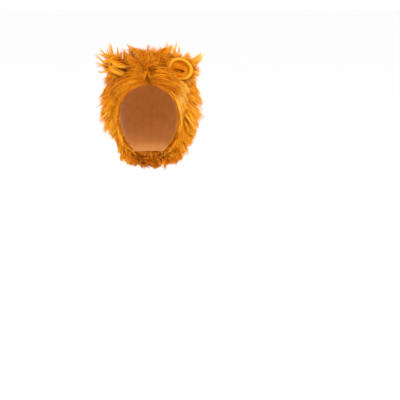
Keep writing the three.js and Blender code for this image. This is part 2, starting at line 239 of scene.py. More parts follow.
# The mane's lower outline: it ends high on the left, and lower and fuller on the right
HANGS = (
    Hang(-150, -140),
    Hang(-112, -156),
    Hang(-90, -164),
    Hang(-78, -186),
    Hang(-74, -220),
    Hang(-53, -243),
    Hang(-38, -252),
    Hang(0, -256),
    Hang(36, -262),
    Hang(56, -236),
    Hang(92, -214),
    Hang(105, -176),
    Hang(114, -158),
    Hang(122, -142),
    Hang(150, -130),
)
# How far hairs end off that outline, and the least share of its length that a hair keeps
HANG_SLACK = 8 * MM
HANG_KEPT = 0.55

LOCK_RINGS = (
    LockRing(0.05, 6, 172, 10),
    LockRing(0.19, 14, 150, 8),
    LockRing(0.28, 5, 26, 2),
    LockRing(0.36, 12, 118, 6),
    LockRing(0.5, 8, 140, 5),
    LockRing(0.65, 5, 112, 6),
    LockRing(0.79, 12, 140, 6),
    LockRing(0.94, 5, 52, 3),
    LockRing(0.93, 76, 166, 4),
)
# How far the numbers of the locks step from ring to ring, and from the right panel to the left
RING_IDS = 20
LEFT_IDS = 500

TUFT_GROUPS = (
    TuftGroup(Group.BROW, 110, (2, 62), (0.0, 0.13)),
    TuftGroup(Group.SEAM, 110, (0.3, 1.2), (0.0, 1.0)),
    TuftGroup(Group.NAPE, 104, (0.5, 58), (0.95, 0.998)),
    TuftGroup(Group.NECK, 60, (62, 165), (0.93, 0.998)),
    TuftGroup(Group.FACE, 100, (1, 179), (0.0, 0.012)),
)

# Thin tufts that stand out of the crown and round the ears
WISPS = (
    Wisp(34, 12, 8, 43, 10, 49, 10, 0.7),
    Wisp(46, 14, 4, 53, 12, 47, 12, 0.7),
    Wisp(54, 14, 0, 65, 14, 48, 11, 0.75),
    Wisp(62, 14, -6, 73, 14, 41, 13, 0.75),
    Wisp(22, 20, 12, 27, 20, 37, 15, 0.6),
    Wisp(8, 14, 12, 16, 14, 34, 14, 0.55),
    Wisp(-4, 10, 12, -2, 14, 42, 11, 0.6),
    Wisp(-14, 8, 10, -24, 10, 34, 13, 0.6),
    Wisp(-34, 10, 8, -50, 10, 42, 13, 0.66),
    Wisp(-44, 12, 2, -62, 14, 32, 13, 0.6),
    Wisp(-78, 8, -2, -91, 8, 45, 15, 0.7),
    Wisp(-92, -14, 0, -117, -14, 35, 10, 0.75),
    Wisp(-98, -16, -4, -128, -18, 23, 10, 0.75),
    Wisp(-98, -18, -12, -126, -20, 5, 10, 0.75),
    Wisp(-94, -18, -18, -119, -22, -21, 11, 0.7),
    Wisp(-88, -18, -24, -104, -20, -36, 11, 0.6),
    Wisp(-70, 8, 0, -76, 8, 37, 14, 0.6),
    Wisp(-62, 12, -2, -68, 12, 31, 24, 0.6),
    Wisp(-56, 14, 0, -60, 14, 34, 22, 0.62),
    Wisp(-80, 6, -6, -98, 6, 37, 20, 0.68),
    Wisp(78, -2, 4, 88, 0, 30, 11, 0.8),
    Wisp(90, -2, -2, 108, 0, 26, 11, 0.8),
    Wisp(98, -4, -20, 122, -6, -30, 12, 0.66),
    Wisp(100, -4, -12, 120, -4, -12, 11, 0.7),
)
# Fuller tufts that fill the outline: the pale one beside the right ear, then both sides
TUFTS = (
    Wisp(90, 12, -12, 126, 4, 24, 26, 0.95),
    Wisp(92, 12, -20, 121, 4, 11, 20, 0.9),
    Wisp(84, 20, -20, 113, 20, -54, 26, 0.66),
    Wisp(88, 20, -40, 119, 20, -80, 28, 0.7),
    Wisp(90, 30, -62, 123, 30, -106, 28, 0.68),
    Wisp(92, 20, -88, 123, 20, -134, 28, 0.7),
    Wisp(90, 10, -110, 117, 8, -160, 26, 0.66),
    Wisp(88, 20, -130, 108, 20, -178, 26, 0.6),
    Wisp(84, 20, -148, 102, 20, -202, 26, 0.55),
    Wisp(-78, 20, -20, -104, 20, -52, 24, 0.56),
    Wisp(-82, 20, -38, -107, 20, -74, 24, 0.55),
    Wisp(-84, 20, -60, -114, 20, -102, 26, 0.62),
    Wisp(-84, 14, -82, -120, 12, -128, 26, 0.7),
    Wisp(-82, 14, -98, -119, 12, -144, 24, 0.66),
    Wisp(-80, 14, -112, -109, 10, -156, 22, 0.6),
    Wisp(-78, 20, -132, -89, 20, -168, 22, 0.5),
)


def scatter(i: Array, j: Array) -> Array:
    """A repeatable number from 0 to 1 for each pair of whole numbers, by the part's own rule."""
    wave = np.sin(i * 12.9898 + j * 78.233) * 43758.5453
    return wave - np.floor(wave)


def unit(vectors: Array) -> Array:
    """The vectors of the last axis, each divided by its length."""
    return vectors / np.maximum(np.linalg.norm(vectors, axis=-1, keepdims=True), 1e-9)


def blend(a: Array, b: Array, share: Array) -> Array:
    """a where share is 0 and b where it is 1, linear between."""
    return a + (b - a) * share


def smooth(share: Array) -> Array:
    """3s^2 - 2s^3 of share held between 0 and 1."""
    held = np.clip(share, 0, 1)
    return held * held * (3 - 2 * held)


def rising(value: Array, start: float, over: float) -> Array:
    """0 up to start, then smoothly to 1 over the given stretch."""
    return smooth((value - start) / over)


def falling(value: Array, end: float, over: float) -> Array:
    """1 up to the given stretch before end, then smoothly to 0 at end."""
    return smooth((end - value) / over)


def ripple(points: Array, size: float, seed: int) -> Array:
    """Smooth noise from about -1 to 1: eight sine waves of random direction and phase, summed.

    Args:
        points: places, (..., 3).
        size: the waves' length in metres.
        seed: picks the waves.
    Returns:
        One value for each place.
    """
    rng = np.random.default_rng(seed)
    waves = unit(rng.normal(size=(8, 3))) * rng.uniform(0.7, 1.4, (8, 1)) * 2 * math.pi / size
    phases = rng.uniform(0, 2 * math.pi, 8)
    return np.sin(points @ waves.T + phases).sum(-1) / 3.2


@dataclass(frozen=True)
class SmoothLine:
    """A Catmull-Rom line of tension one half through its points."""

    points: Array

    def at(self, share: Array) -> Array:
        """The cubic between the two nearest points, whose slopes are half the chord round each.

        Args:
            share: places on the line from 0 to 1, of any shape.
        Returns:
            Points, with the shape of share and one more axis.
        """
        line = self.points
        count = len(line)
        padded = np.vstack([2 * line[0] - line[1], line, 2 * line[-1] - line[-2]])
        place = np.clip(share, 0, 1) * (count - 1)
        k = np.minimum(place.astype(int), count - 2)
        w = (place - k)[..., None]
        before, start, end, after = (padded[k + i] for i in range(4))
        slope_in = 0.5 * (end - before)
        slope_out = 0.5 * (after - start)
        square = 3 * (end - start) - 2 * slope_in - slope_out
        cube = 2 * (start - end) + slope_in + slope_out
        return start + slope_in * w + square * w**2 + cube * w**3


class ClothFrame(NamedTuple):
    """Directions at places of the cloth, and how far one degree and one share of the way go."""

    out: Array
    side: Array
    back: Array
    per_degree: Array
    per_share: Array


@dataclass(frozen=True)
class HoodForm:
    """The inside of the hood, a bent tube from the face edge (along 0) to the neck edge (1).

    turn is the angle round it in degrees, from 0 at the crown seam to 180 at the throat, positive
    on the viewer's right.
    """

    head_width: float = 156 * MM
    height: float = 238 * MM
    depth: float = 192 * MM
    backing: float = 2.4 * MM
    clearance: float = 0.35 * MM
    squareness: float = 0.9

    def line(self, columns: tuple[str, ...], scales: tuple[float, ...]) -> SmoothLine:
        """A smooth line through columns of the sections, each column times its scale."""
        rows = [[getattr(s, c) * k for c, k in zip(columns, scales)] for s in SECTIONS]
        return SmoothLine(np.array(rows, float))

    def inner(self, turn: Array, along: Array) -> Array:
        """Points inside the cloth: half width times sin(turn)^squareness (1 + egg cos(turn))
        across, and between the section's top and bottom point by (1 - cos(turn)) / 2.

        Args:
            turn: degrees from the crown seam.
            along: share of the way from the face edge to the neck edge.
        Returns:
            Points, (..., 3).
        """
        turn, along = np.broadcast_arrays(np.asarray(turn, float), np.asarray(along, float))
        top = self.line(("top_y", "top_z"), (self.depth, self.height)).at(along)
        bottom = self.line(("bottom_y", "bottom_z"), (self.depth, self.height)).at(along)
        girth = self.line(("width", "egg"), (self.head_width, 1)).at(along)
        sine, cosine = np.sin(np.radians(turn)), np.cos(np.radians(turn))
        across = np.sign(sine) * np.abs(sine) ** self.squareness * (1 + girth[..., 1] * cosine)
        rest = blend(top, bottom, ((1 - cosine) / 2)[..., None])
        return np.concatenate([(girth[..., 0] * across)[..., None], rest], axis=-1)

    def frame(self, turn: Array, along: Array) -> ClothFrame:
        """The directions out of the cloth, away from the crown seam and to the neck edge, from
        the differences over one degree and one hundredth of the way to either side.

        Args:
            turn: degrees from the crown seam.
            along: share of the way from the face edge to the neck edge.
        Returns:
            The directions and the distances per degree and per share.
        """
        turn = np.asarray(turn, float)
        sideways = np.where(turn < 0, -1.0, 1.0)
        ahead, behind = np.clip(along + 0.01, 0, 1), np.clip(along - 0.01, 0, 1)
        side = self.inner(turn + sideways, along) - self.inner(turn - sideways, along)
        back = self.inner(turn, ahead) - self.inner(turn, behind)
        out = np.cross(unit(side), unit(back)) * sideways[..., None]
        return ClothFrame(
            unit(out),
            unit(side),
            unit(back),
            np.linalg.norm(side, axis=-1) / 2,
            np.linalg.norm(back, axis=-1) / (ahead - behind),
        )

    def place(self, turn: Array, along: Array, height: Array) -> Array:
        """Points a height off the cloth's inside. Past both edges the tube runs straight on.

        Args:
            turn: degrees from the crown seam.
            along: share of the way, also below 0 or above 1.
            height: metres off the inside of the cloth.
        Returns:
            Points, (..., 3).
        """
        held = np.clip(along, 0, 1)
        lie = self.frame(turn, held)
        past = (along - held) * lie.per_share
        return self.inner(turn, held) + lie.out * height[..., None] + lie.back * past[..., None]


@dataclass(frozen=True)
class PileLie:
    """How the pile lies anywhere: the zones' rows, weighted by how near each zone is."""

    reach_turn: float = 32
    reach_along: float = 0.26
    full_depth: float = 17 * MM
    edge_reach: float = 0.16
    edge_depth: float = 0.35

    def at(self, turn: Array, along: Array) -> dict[str, Array]:
        """The mean of the rows of this panel's zones, each weighted by exp(-(dt/reach)^2 -
        (da/reach)^2), with the patches, partly painted light and shade, added to its tone.

        Args:
            turn: degrees from the crown seam.
            along: share of the way to the neck edge.
        Returns:
            One array for each column of the zones.
        """
        rows = np.array(ZONES, float)
        away = (np.abs(turn)[..., None] - rows[:, 0]) / self.reach_turn
        ahead = (along[..., None] - rows[:, 1]) / self.reach_along
        weight = np.exp(-(away**2) - ahead**2)
        weight = np.where(rows[:, 2] * turn[..., None] < 0, 0, weight)
        mean = weight @ rows / weight.sum(-1, keepdims=True)
        lie = {name: mean[..., k] for k, name in enumerate(Zone._fields)}
        for patch in PATCHES:
            off_turn = (turn - patch.turn) / patch.reach_turn
            off_along = (along - patch.along) / patch.reach_along
            lie["tone"] = lie["tone"] + patch.tone * np.exp(-(off_turn**2) - off_along**2)
        return lie

    def depth(self, turn: Array, along: Array) -> Array:
        """The combed pile's depth, which falls in a line to its least share at both edges.

        Args:
            turn: degrees from the crown seam.
            along: share of the way to the neck edge.
        Returns:
            Depths in metres.
        """
        edge = np.clip(np.minimum(along, 1 - along) / self.edge_reach, 0, 1)
        return self.full_depth * self.at(turn, along)["depth"] * blend(self.edge_depth, 1, edge)


class MeshMaker:
    """Puts arrays of points and faces into Blender meshes."""

    @staticmethod
    def outward(points: Array, faces: Array) -> Array:
        """The faces, turned round when the closed shell's signed volume is negative."""
        a, b, c = points[faces[:, 0]], points[faces[:, 1]], points[faces[:, 2]]
        volume = np.einsum("ij,ij->i", a, np.cross(b, c)).sum()
        return faces[:, ::-1] if volume < 0 else faces

    @staticmethod
    def make(
        name: str, points: Array, faces: Array, marks: dict[str, Array], smooth_faces: bool = True
    ) -> bpy.types.Object:
        """A mesh object at the origin from triangles.

        Args:
            name: the piece's name.
            points: (n, 3).
            faces: (m, 3) corners of the triangles.
            marks: named values per point, read by the materials.
            smooth_faces: whether the shading is smooth.
        Returns:
            The object, linked to the scene.
        """
        mesh = bpy.data.meshes.new(name)
        mesh.vertices.add(len(points))
        mesh.vertices.foreach_set("co", points.astype(np.float32).ravel())
        mesh.loops.add(faces.size)
        mesh.loops.foreach_set("vertex_index", faces.astype(np.int32).ravel())
        mesh.polygons.add(len(faces))
        mesh.polygons.foreach_set("loop_start", np.arange(0, faces.size, 3, dtype=np.int32))
        mesh.polygons.foreach_set("use_smooth", np.full(len(faces), smooth_faces))
        for mark, values in marks.items():
            layer = mesh.attributes.new(mark, "FLOAT", "POINT")
            layer.data.foreach_set("value", values.astype(np.float32).ravel())
        mesh.update(calc_edges=True)
        mesh.validate()
        piece = bpy.data.objects.new(name, mesh)
        bpy.context.scene.collection.objects.link(piece)
        return piece

    @staticmethod
    def loft(rows: Array) -> tuple[Array, Array]:
        """A closed shell through rows of points, each row a loop, with a fan over both ends.

        Args:
            rows: (rows, loop, 3).
        Returns:
            Points and triangles.
        """
        row_count, count = rows.shape[:2]
        i, k = np.meshgrid(np.arange(row_count - 1), np.arange(count), indexing="ij")
        a, b = i * count + k, i * count + (k + 1) % count
        walls = np.stack([a, b, b + count, a, b + count, a + count], -1).reshape(-1, 3)
        points = np.vstack([rows.reshape(-1, 3), rows[0].mean(0), rows[-1].mean(0)])
        ring = np.arange(count)
        following = (ring + 1) % count
        first = np.full(count, row_count * count)
        last_row = (row_count - 1) * count
        caps = [
            np.stack([following, ring, first], -1),
            np.stack([last_row + ring, last_row + following, first + 1], -1),
        ]
        faces = np.vstack([walls, *caps])
        return points, MeshMaker.outward(points, faces)

    @staticmethod
    def wall(inner: Array, outer: Array) -> tuple[Array, Array]:
        """A closed wall between two grids of points of the same shape.

        Args:
            inner: (rows, columns, 3), the wall's one face.
            outer: (rows, columns, 3), its other face.
        Returns:
            Points and triangles.
        """
        rows, columns = inner.shape[:2]
        grid = np.arange(rows * columns).reshape(rows, columns)

        def sheet(index: Array) -> Array:
            """Two triangles for each cell of a grid of point numbers."""
            a, b = index[:-1, :-1], index[:-1, 1:]
            c, d = index[1:, 1:], index[1:, :-1]
            return np.stack([a, b, c, a, c, d], -1).reshape(-1, 3)

        under = grid + rows * columns
        border = np.concatenate([grid[0, :-1], grid[:-1, -1], grid[-1, :0:-1], grid[:0:-1, 0]])
        following = np.roll(border, -1)
        low, low_next = border + rows * columns, following + rows * columns
        rim = np.stack([border, low, low_next, border, low_next, following], -1).reshape(-1, 3)
        points = np.vstack([inner.reshape(-1, 3), outer.reshape(-1, 3)])
        faces = np.vstack([sheet(grid), sheet(under)[:, ::-1], rim])
        return points, MeshMaker.outward(points, faces)


@dataclass
class Strands:
    """Hairs of fur: the points each one follows from root to tip, its radius and its tone."""

    paths: Array
    radius: Array
    tone: Array
    sides: int = 3

    def joined(self, other: "Strands") -> "Strands":
        """Both sets of hairs in one."""
        return Strands(
            np.concatenate([self.paths, other.paths]),
            np.concatenate([self.radius, other.radius]),
            np.concatenate([self.tone, other.tone]),
            self.sides,
        )

    def kept(self, mask: Array) -> "Strands":
        """Only the hairs where mask is true."""
        return Strands(self.paths[mask], self.radius[mask], self.tone[mask], self.sides)

    @staticmethod
    def steps_before(held: Array) -> Array:
        """How many steps from the root each hair is free of what holds it: all, or up to half a
        step before the first point where held is true."""
        return np.where(held.any(axis=1), held.argmax(axis=1) - 0.5, held.shape[1] - 1)

    def clear_of_ears(self, hood: HoodForm) -> "Strands":
        """Hairs that would run into an ear, or hang in front of it, end before it instead, and
        hairs that root there or within a step of it are left out.

        Args:
            hood: the hood that the ears stand on.
        Returns:
            The hairs.
        """
        held = np.zeros(self.paths.shape[:2], bool)
        for ear in EARS:
            held |= ear.holds(hood, self.paths)
        free = self.steps_before(held)
        return self.shortened(free).kept(free > 1)

    def hung(self, seed: int) -> "Strands":
        """Hairs that would hang below the mane's lower outline, as the camera sees it, end near
        it instead, though each keeps a share of its length.

        Args:
            seed: lets each hair end a little above or below the line.
        Returns:
            The hairs.
        """
        table = np.array(HANGS) * MM
        tilt = math.radians(Studio.elevation)
        height = self.paths[..., 2] * math.cos(tilt) + self.paths[..., 1] * math.sin(tilt)
        line = np.interp(self.paths[..., 0], table[:, 0], table[:, 1])
        slack = np.random.default_rng(seed).normal(0, HANG_SLACK, (len(self.paths), 1))
        free = self.steps_before(height < line + slack)
        least = HANG_KEPT * (self.paths.shape[1] - 1)
        return self.shortened(np.maximum(free, least))

    def outside(self, hood: HoodForm, first_points: int = 3) -> "Strands":
        """Only the hairs whose first points lie outside the cloth.

        Args:
            hood: the hood, read at a grid of points every 4 degrees and every 30th of the way,
                where a hair's point is compared with the nearest one and its outward direction.
            first_points: how many points of each hair are looked at.
        Returns:
            The hairs.
        """
        turn, along = np.meshgrid(np.linspace(-180, 180, 91), np.linspace(0, 1, 31))
        turn, along = turn.ravel(), along.ravel()
        cloth = hood.place(turn, along, np.zeros_like(turn))
        out = hood.frame(turn, along).out
        free = np.ones(len(self.paths), bool)
        for step in range(first_points):
            point = self.paths[:, step]
            nearest = ((cloth**2).sum(-1) - 2 * point @ cloth.T).argmin(axis=1)
            free &= ((point - cloth[nearest]) * out[nearest]).sum(-1) > hood.backing
        return self.kept(free)

    def shortened(self, free: Array) -> "Strands":
        """Hairs cut back, with their points spread evenly again over what is left.

        Args:
            free: where each hair ends, in steps from the root.
        Returns:
            The hairs.
        """
        count, steps = self.paths.shape[:2]
        place = np.clip(free, 0, None)[:, None] * np.linspace(0, 1, steps)
        low = np.minimum(place.astype(int), steps - 2)
        row = np.arange(count)[:, None]
        start, end = self.paths[row, low], self.paths[row, low + 1]
        paths = blend(start, end, (place - low)[..., None])
        return Strands(paths, self.radius, self.tone, self.sides)

    def build(self, name: str, seed: int) -> bpy.types.Object:
        """A joined mesh of closed tapered hairs.

        Each hair is a ring of points carried along its path, of radius r (1 - t^3)^0.8, closed
        at the root and run to a point at the tip.

        Args:
            name: the piece's name.
            seed: turns each hair about its own path.
        Returns:
            The object.
        """
        count, steps = self.paths.shape[:2]
        tangent = unit(np.gradient(self.paths, axis=1))
        rng = np.random.default_rng(seed)
        across = rng.normal(size=(count, 1, 3))
        u = unit(np.cross(tangent, across))
        v = np.cross(tangent, u)
        share = np.linspace(0, 1, steps)[:-1]
        angle = np.arange(self.sides) * 2 * math.pi / self.sides
        fade = self.radius[:, None] * (1 - share**3) ** 0.8
        ring = (
            u[:, :-1, None] * np.cos(angle)[:, None] + v[:, :-1, None] * np.sin(angle)[:, None]
        ) * fade[:, :, None, None]
        rings = self.paths[:, :-1, None] + ring
        block = (steps - 1) * self.sides + 1
        points = np.concatenate([rings.reshape(count, -1, 3), self.paths[:, -1:]], axis=1)
        faces = self.hair_faces(steps)[None] + np.arange(count)[:, None, None] * block
        root_tip = np.append(np.repeat(share, self.sides), 1.0)
        marks = {
            "root_tip": np.tile(root_tip, count),
            "tone": np.repeat(self.tone, block),
        }
        return MeshMaker.make(name, points.reshape(-1, 3), faces.reshape(-1, 3), marks)

    def hair_faces(self, steps: int) -> Array:
        """The triangles of one hair whose rings follow each other, its tip being the last point.

        Args:
            steps: points on the hair's path.
        Returns:
            (m, 3) corners.
        """
        i, k = np.meshgrid(np.arange(steps - 2), np.arange(self.sides), indexing="ij")
        a, b = i * self.sides + k, i * self.sides + (k + 1) % self.sides
        walls = np.stack([a, b, b + self.sides, a, b + self.sides, a + self.sides], -1)
        ring = np.arange(self.sides)
        last = (steps - 2) * self.sides
        tip = np.full(self.sides, (steps - 1) * self.sides)
        point = np.stack([last + ring, last + (ring + 1) % self.sides, tip], -1)
        root = np.stack([np.zeros(self.sides - 2, int), ring[2:], ring[1:-1]], -1)
        return np.vstack([walls.reshape(-1, 3), point, root])


class NodeBook:
    """Adds shader nodes to one material by short calls."""

    def __init__(self, name: str) -> None:
        """An empty node tree with its output."""
        self.material = bpy.data.materials.new(name)
        self.material.use_nodes = True
        self.tree = self.material.node_tree
        self.tree.nodes.clear()
        self.output = self.tree.nodes.new("ShaderNodeOutputMaterial")

    def node(self, kind: str, settings: dict | None = None, **sockets: object) -> bpy.types.Node:
        """A node with its settings and sockets, where a socket's value may be another's output.

        Args:
            kind: the node's type without its ShaderNode beginning.
            settings: properties of the node itself.
            sockets: values by socket name, with _ for a space, or by number as _0, _1.
        Returns:
            The node.
        """
        made = self.tree.nodes.new("ShaderNode" + kind)
        for key, value in (settings or {}).items():
            setattr(made, key, value)
        for key, value in sockets.items():
            socket = made.inputs[int(key[1:]) if key[0] == "_" else key.replace("_", " ")]
            if isinstance(value, bpy.types.NodeSocket):
                self.tree.links.new(value, socket)
            else:
                socket.default_value = value
        return made

    def ramp(self, value: bpy.types.NodeSocket, stops: tuple) -> bpy.types.NodeSocket:
        """A colour ramp.

        Args:
            value: where it is read.
            stops: its (place, sRGB colour) pairs.
        Returns:
            The colour.
        """
        made = self.node("ValToRGB", _0=value)
        elements = made.color_ramp.elements
        while len(elements) < len(stops):
            elements.new(0.5)
        for element, (place, colour) in zip(elements, stops):
            element.position = place
            element.color = (*linear(colour), 1)
        return made.outputs["Color"]

    def math(
        self, operation: str, a: object, b: object = 0.0, c: object = 0.0
    ) -> bpy.types.NodeSocket:
        """One arithmetic step."""
        return self.node("Math", {"operation": operation}, _0=a, _1=b, _2=c).outputs[0]

    def mark(self, name: str) -> bpy.types.NodeSocket:
        """A value that the mesh carries at its points."""
        return self.node("Attribute", {"attribute_name": name}).outputs["Fac"]

    def noise(self, vector: object, scale: float, detail: float = 2.0) -> bpy.types.NodeSocket:
        """Noise about one half at a number of waves per metre."""
        return self.node("TexNoise", Vector=vector, Scale=scale, Detail=detail).outputs["Fac"]

    def where(self) -> bpy.types.NodeSocket:
        """Places on the piece, in metres."""
        return self.node("TexCoord").outputs["Object"]

    def bump(
        self, height: bpy.types.NodeSocket, strength: float, distance: float
    ) -> bpy.types.NodeSocket:
        """The direction of a surface that a height from 0 to 1 lifts by up to a distance."""
        made = self.node("Bump", Height=height, Strength=strength, Distance=distance)
        return made.outputs["Normal"]

    def finish(self, **sockets: object) -> bpy.types.Material:
        """Closes the material with a Principled shader of these sockets."""
        shader = self.node("BsdfPrincipled", **sockets)
        self.tree.links.new(shader.outputs[0], self.output.inputs["Surface"])
        return self.material


def linear(colour: tuple[int, int, int]) -> tuple[float, float, float]:
    """An sRGB colour of 0 to 255 as linear light."""
    shares = [c / 255 for c in colour]
    return tuple(s / 12.92 if s <= 0.04045 else ((s + 0.055) / 1.055) ** 2.4 for s in shares)


@dataclass(frozen=True)
class FurFinish:
    """Acrylic pile: orange from deep to golden, with painted shade darkening it towards the root
    and painted light paling the tip.
    """

    name: str = "long_pile"
    deep: tuple[int, int, int] = (158, 76, 0)
    warm: tuple[int, int, int] = (218, 123, 2)
    golden: tuple[int, int, int] = (244, 165, 22)
    pale: tuple[int, int, int] = (252, 200, 92)
    # Painted shade at the root, where the hairs shade each other
    root_shade: tuple[int, int, int] = (194, 176, 152)
    sheen_tint: tuple[int, int, int] = (255, 190, 90)
    patches_per_metre: float = 38.0
    strands_per_metre: float = 420.0
    fibres_per_metre: float = 900.0
    roughness: float = 0.62
    sheen: float = 0.03

    def material(self) -> bpy.types.Material:
        """Tone plus patches of noise picks the colour, painted light pales the tips, and the share
        from root to tip shades it with painted shade towards the root.
        """
        book = NodeBook(self.name)
        where = book.where()
        patches = book.math("MULTIPLY_ADD", book.noise(where, self.patches_per_metre), 0.36, -0.18)
        fine = book.math("MULTIPLY_ADD", book.noise(where, self.strands_per_metre), 0.16, -0.08)
        # Painted light: the tips are lifted paler, as light shining through them
        tip = book.math("MULTIPLY", book.math("POWER", book.mark("root_tip"), 3.0), 0.1)
        tone = book.math("ADD", book.mark("tone"), book.math("ADD", patches, fine))
        tone = book.math("ADD", tone, tip)
        colour = book.ramp(
            tone, ((0.05, self.deep), (0.38, self.warm), (0.66, self.golden), (1.0, self.pale))
        )
        # Painted shade: the colour is darkened towards the root
        shade = book.ramp(
            book.mark("root_tip"),
            (
                (0.0, self.root_shade),
                (0.3, (238, 230, 216)),
                (0.7, (254, 252, 248)),
                (1.0, (255, 255, 255)),
            ),
        )
        mixed = book.node("Mix", {"data_type": "RGBA", "blend_type": "MULTIPLY"})
        mixed.inputs["Factor"].default_value = 1.0
        book.tree.links.new(colour, mixed.inputs["A"])
        book.tree.links.new(shade, mixed.inputs["B"])
        fibres = book.noise(where, self.fibres_per_metre)
        return book.finish(
            Base_Color=mixed.outputs["Result"],
            Roughness=self.roughness,
            Normal=book.bump(fibres, 0.15, 0.4 * MM),
            Specular_IOR_Level=0.1,
            Sheen_Weight=self.sheen,
            Sheen_Roughness=0.4,
            Sheen_Tint=(*linear(self.sheen_tint), 1),
        )


@dataclass(frozen=True)
class PlushFinish:
    """Short plush of the ears: golden on the rim and deeper orange in the bowl."""

    name: str = "short_plush"
    # Painted shade in the folds' creases
    deep: tuple[int, int, int] = (84, 36, 0)
    bowl: tuple[int, int, int] = (196, 112, 2)
    rim: tuple[int, int, int] = (214, 144, 32)
    sheen_tint: tuple[int, int, int] = (255, 214, 140)
    naps_per_metre: float = 700.0
    patches_per_metre: float = 90.0

    def material(self) -> bpy.types.Material:
        """The rim mark, with the folds' painted shade and light in it, mixes the colours down to
        the deep one in the painted creases, with fine naps of noise in colour and bump.
        """
        book = NodeBook(self.name)
        where = book.where()
        nap = book.noise(where, self.naps_per_metre, 3.0)
        patches = book.noise(where, self.patches_per_metre)
        value = book.math("ADD", book.mark("rim"), book.math("MULTIPLY", patches, 0.3))
        value = book.math("ADD", value, book.math("MULTIPLY", nap, 0.2))
        colour = book.ramp(
            book.math("MULTIPLY_ADD", value, 0.7, 0.12),
            ((0.05, self.deep), (0.32, self.bowl), (0.95, self.rim)),
        )
        return book.finish(
            Base_Color=colour,
            Roughness=0.85,
            Normal=book.bump(nap, 0.5, 1.2 * MM),
            Specular_IOR_Level=0.1,
            Sheen_Weight=0.22,
            Sheen_Roughness=0.4,
            Sheen_Tint=(*linear(self.sheen_tint), 1),
        )


@dataclass(frozen=True)
class KnitFinish:
    """The backing's knit: ribs across columns, at the stitch size of a pile fabric's base."""

    name: str = "knit_backing"
    yarn: tuple[int, int, int] = (222, 152, 78)
    hollow_shade: tuple[int, int, int] = (176, 106, 44)
    stitches_per_metre: float = 520.0
    rows_per_metre: float = 640.0

    def material(self) -> bpy.types.Material:
        """Sine waves round the girth times sine waves along the run, with noise over both; the low
        places of the stitches are painted darker as shade.
        """
        book = NodeBook(self.name)
        where = book.where()
        girth, run = book.mark("girth"), book.mark("run")
        column = book.math("SINE", book.math("MULTIPLY", girth, self.stitches_per_metre * math.tau))
        row = book.math("SINE", book.math("MULTIPLY", run, self.rows_per_metre * math.tau))
        loops = book.math("MULTIPLY", column, row)
        level = book.math("MULTIPLY_ADD", loops, 0.25, 0.5)
        stitch_shade_and_mottle = book.math("ADD", level, book.math("MULTIPLY", book.noise(where, 60.0), 0.5))
        stitch_shade_and_mottle = book.math("SUBTRACT", stitch_shade_and_mottle, 0.25)
        # Painted shade in the hollows between stitches, with random mottle over it
        colour = book.ramp(stitch_shade_and_mottle, ((0.0, self.hollow_shade), (1.0, self.yarn)))
        return book.finish(
            Base_Color=colour,
            Roughness=0.9,
            Normal=book.bump(level, 0.6, 0.6 * MM),
            Specular_IOR_Level=0.15,
            Sheen_Weight=0.3,
        )


@dataclass(frozen=True)
class TapeFinish:
    """Hook-and-loop tape: a felt of tiny loops."""

    name: str = "closure_tape"
    light: tuple[int, int, int] = (150, 92, 40)
    dark: tuple[int, int, int] = (84, 46, 18)
    loops_per_metre: float = 900.0

    def material(self) -> bpy.types.Material:
        """Cells of about a millimetre, as colour and bump."""
        book = NodeBook(self.name)
        where = book.where()
        cells = book.node("TexVoronoi", Vector=where, Scale=self.loops_per_metre)
        cells = cells.outputs["Distance"]
        colour = book.ramp(cells, ((0.1, self.light), (0.8, self.dark)))
        return book.finish(
            Base_Color=colour,
            Roughness=0.95,
            Normal=book.bump(cells, 0.7, 0.6 * MM),
            Sheen_Weight=0.2,
        )


def dress(
    piece: bpy.types.Object, material: bpy.types.Material, slot: Slot, *nodes: str
) -> bpy.types.Object:
    """Gives a piece its material, rides it on the body and hides the CAD nodes that it stands for.

    Args:
        piece: a finished piece.
        material: its one material.
        slot: its slot in the record, not used.
        nodes: the CAD nodes that it stands for.
    Returns:
        The piece.
    """
    piece.data.materials.clear()
    piece.data.materials.append(material)
    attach(piece, BODY)
    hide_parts(*nodes)
    LOG.info("%s: %d triangles", piece.name, len(piece.data.polygons))
    return piece


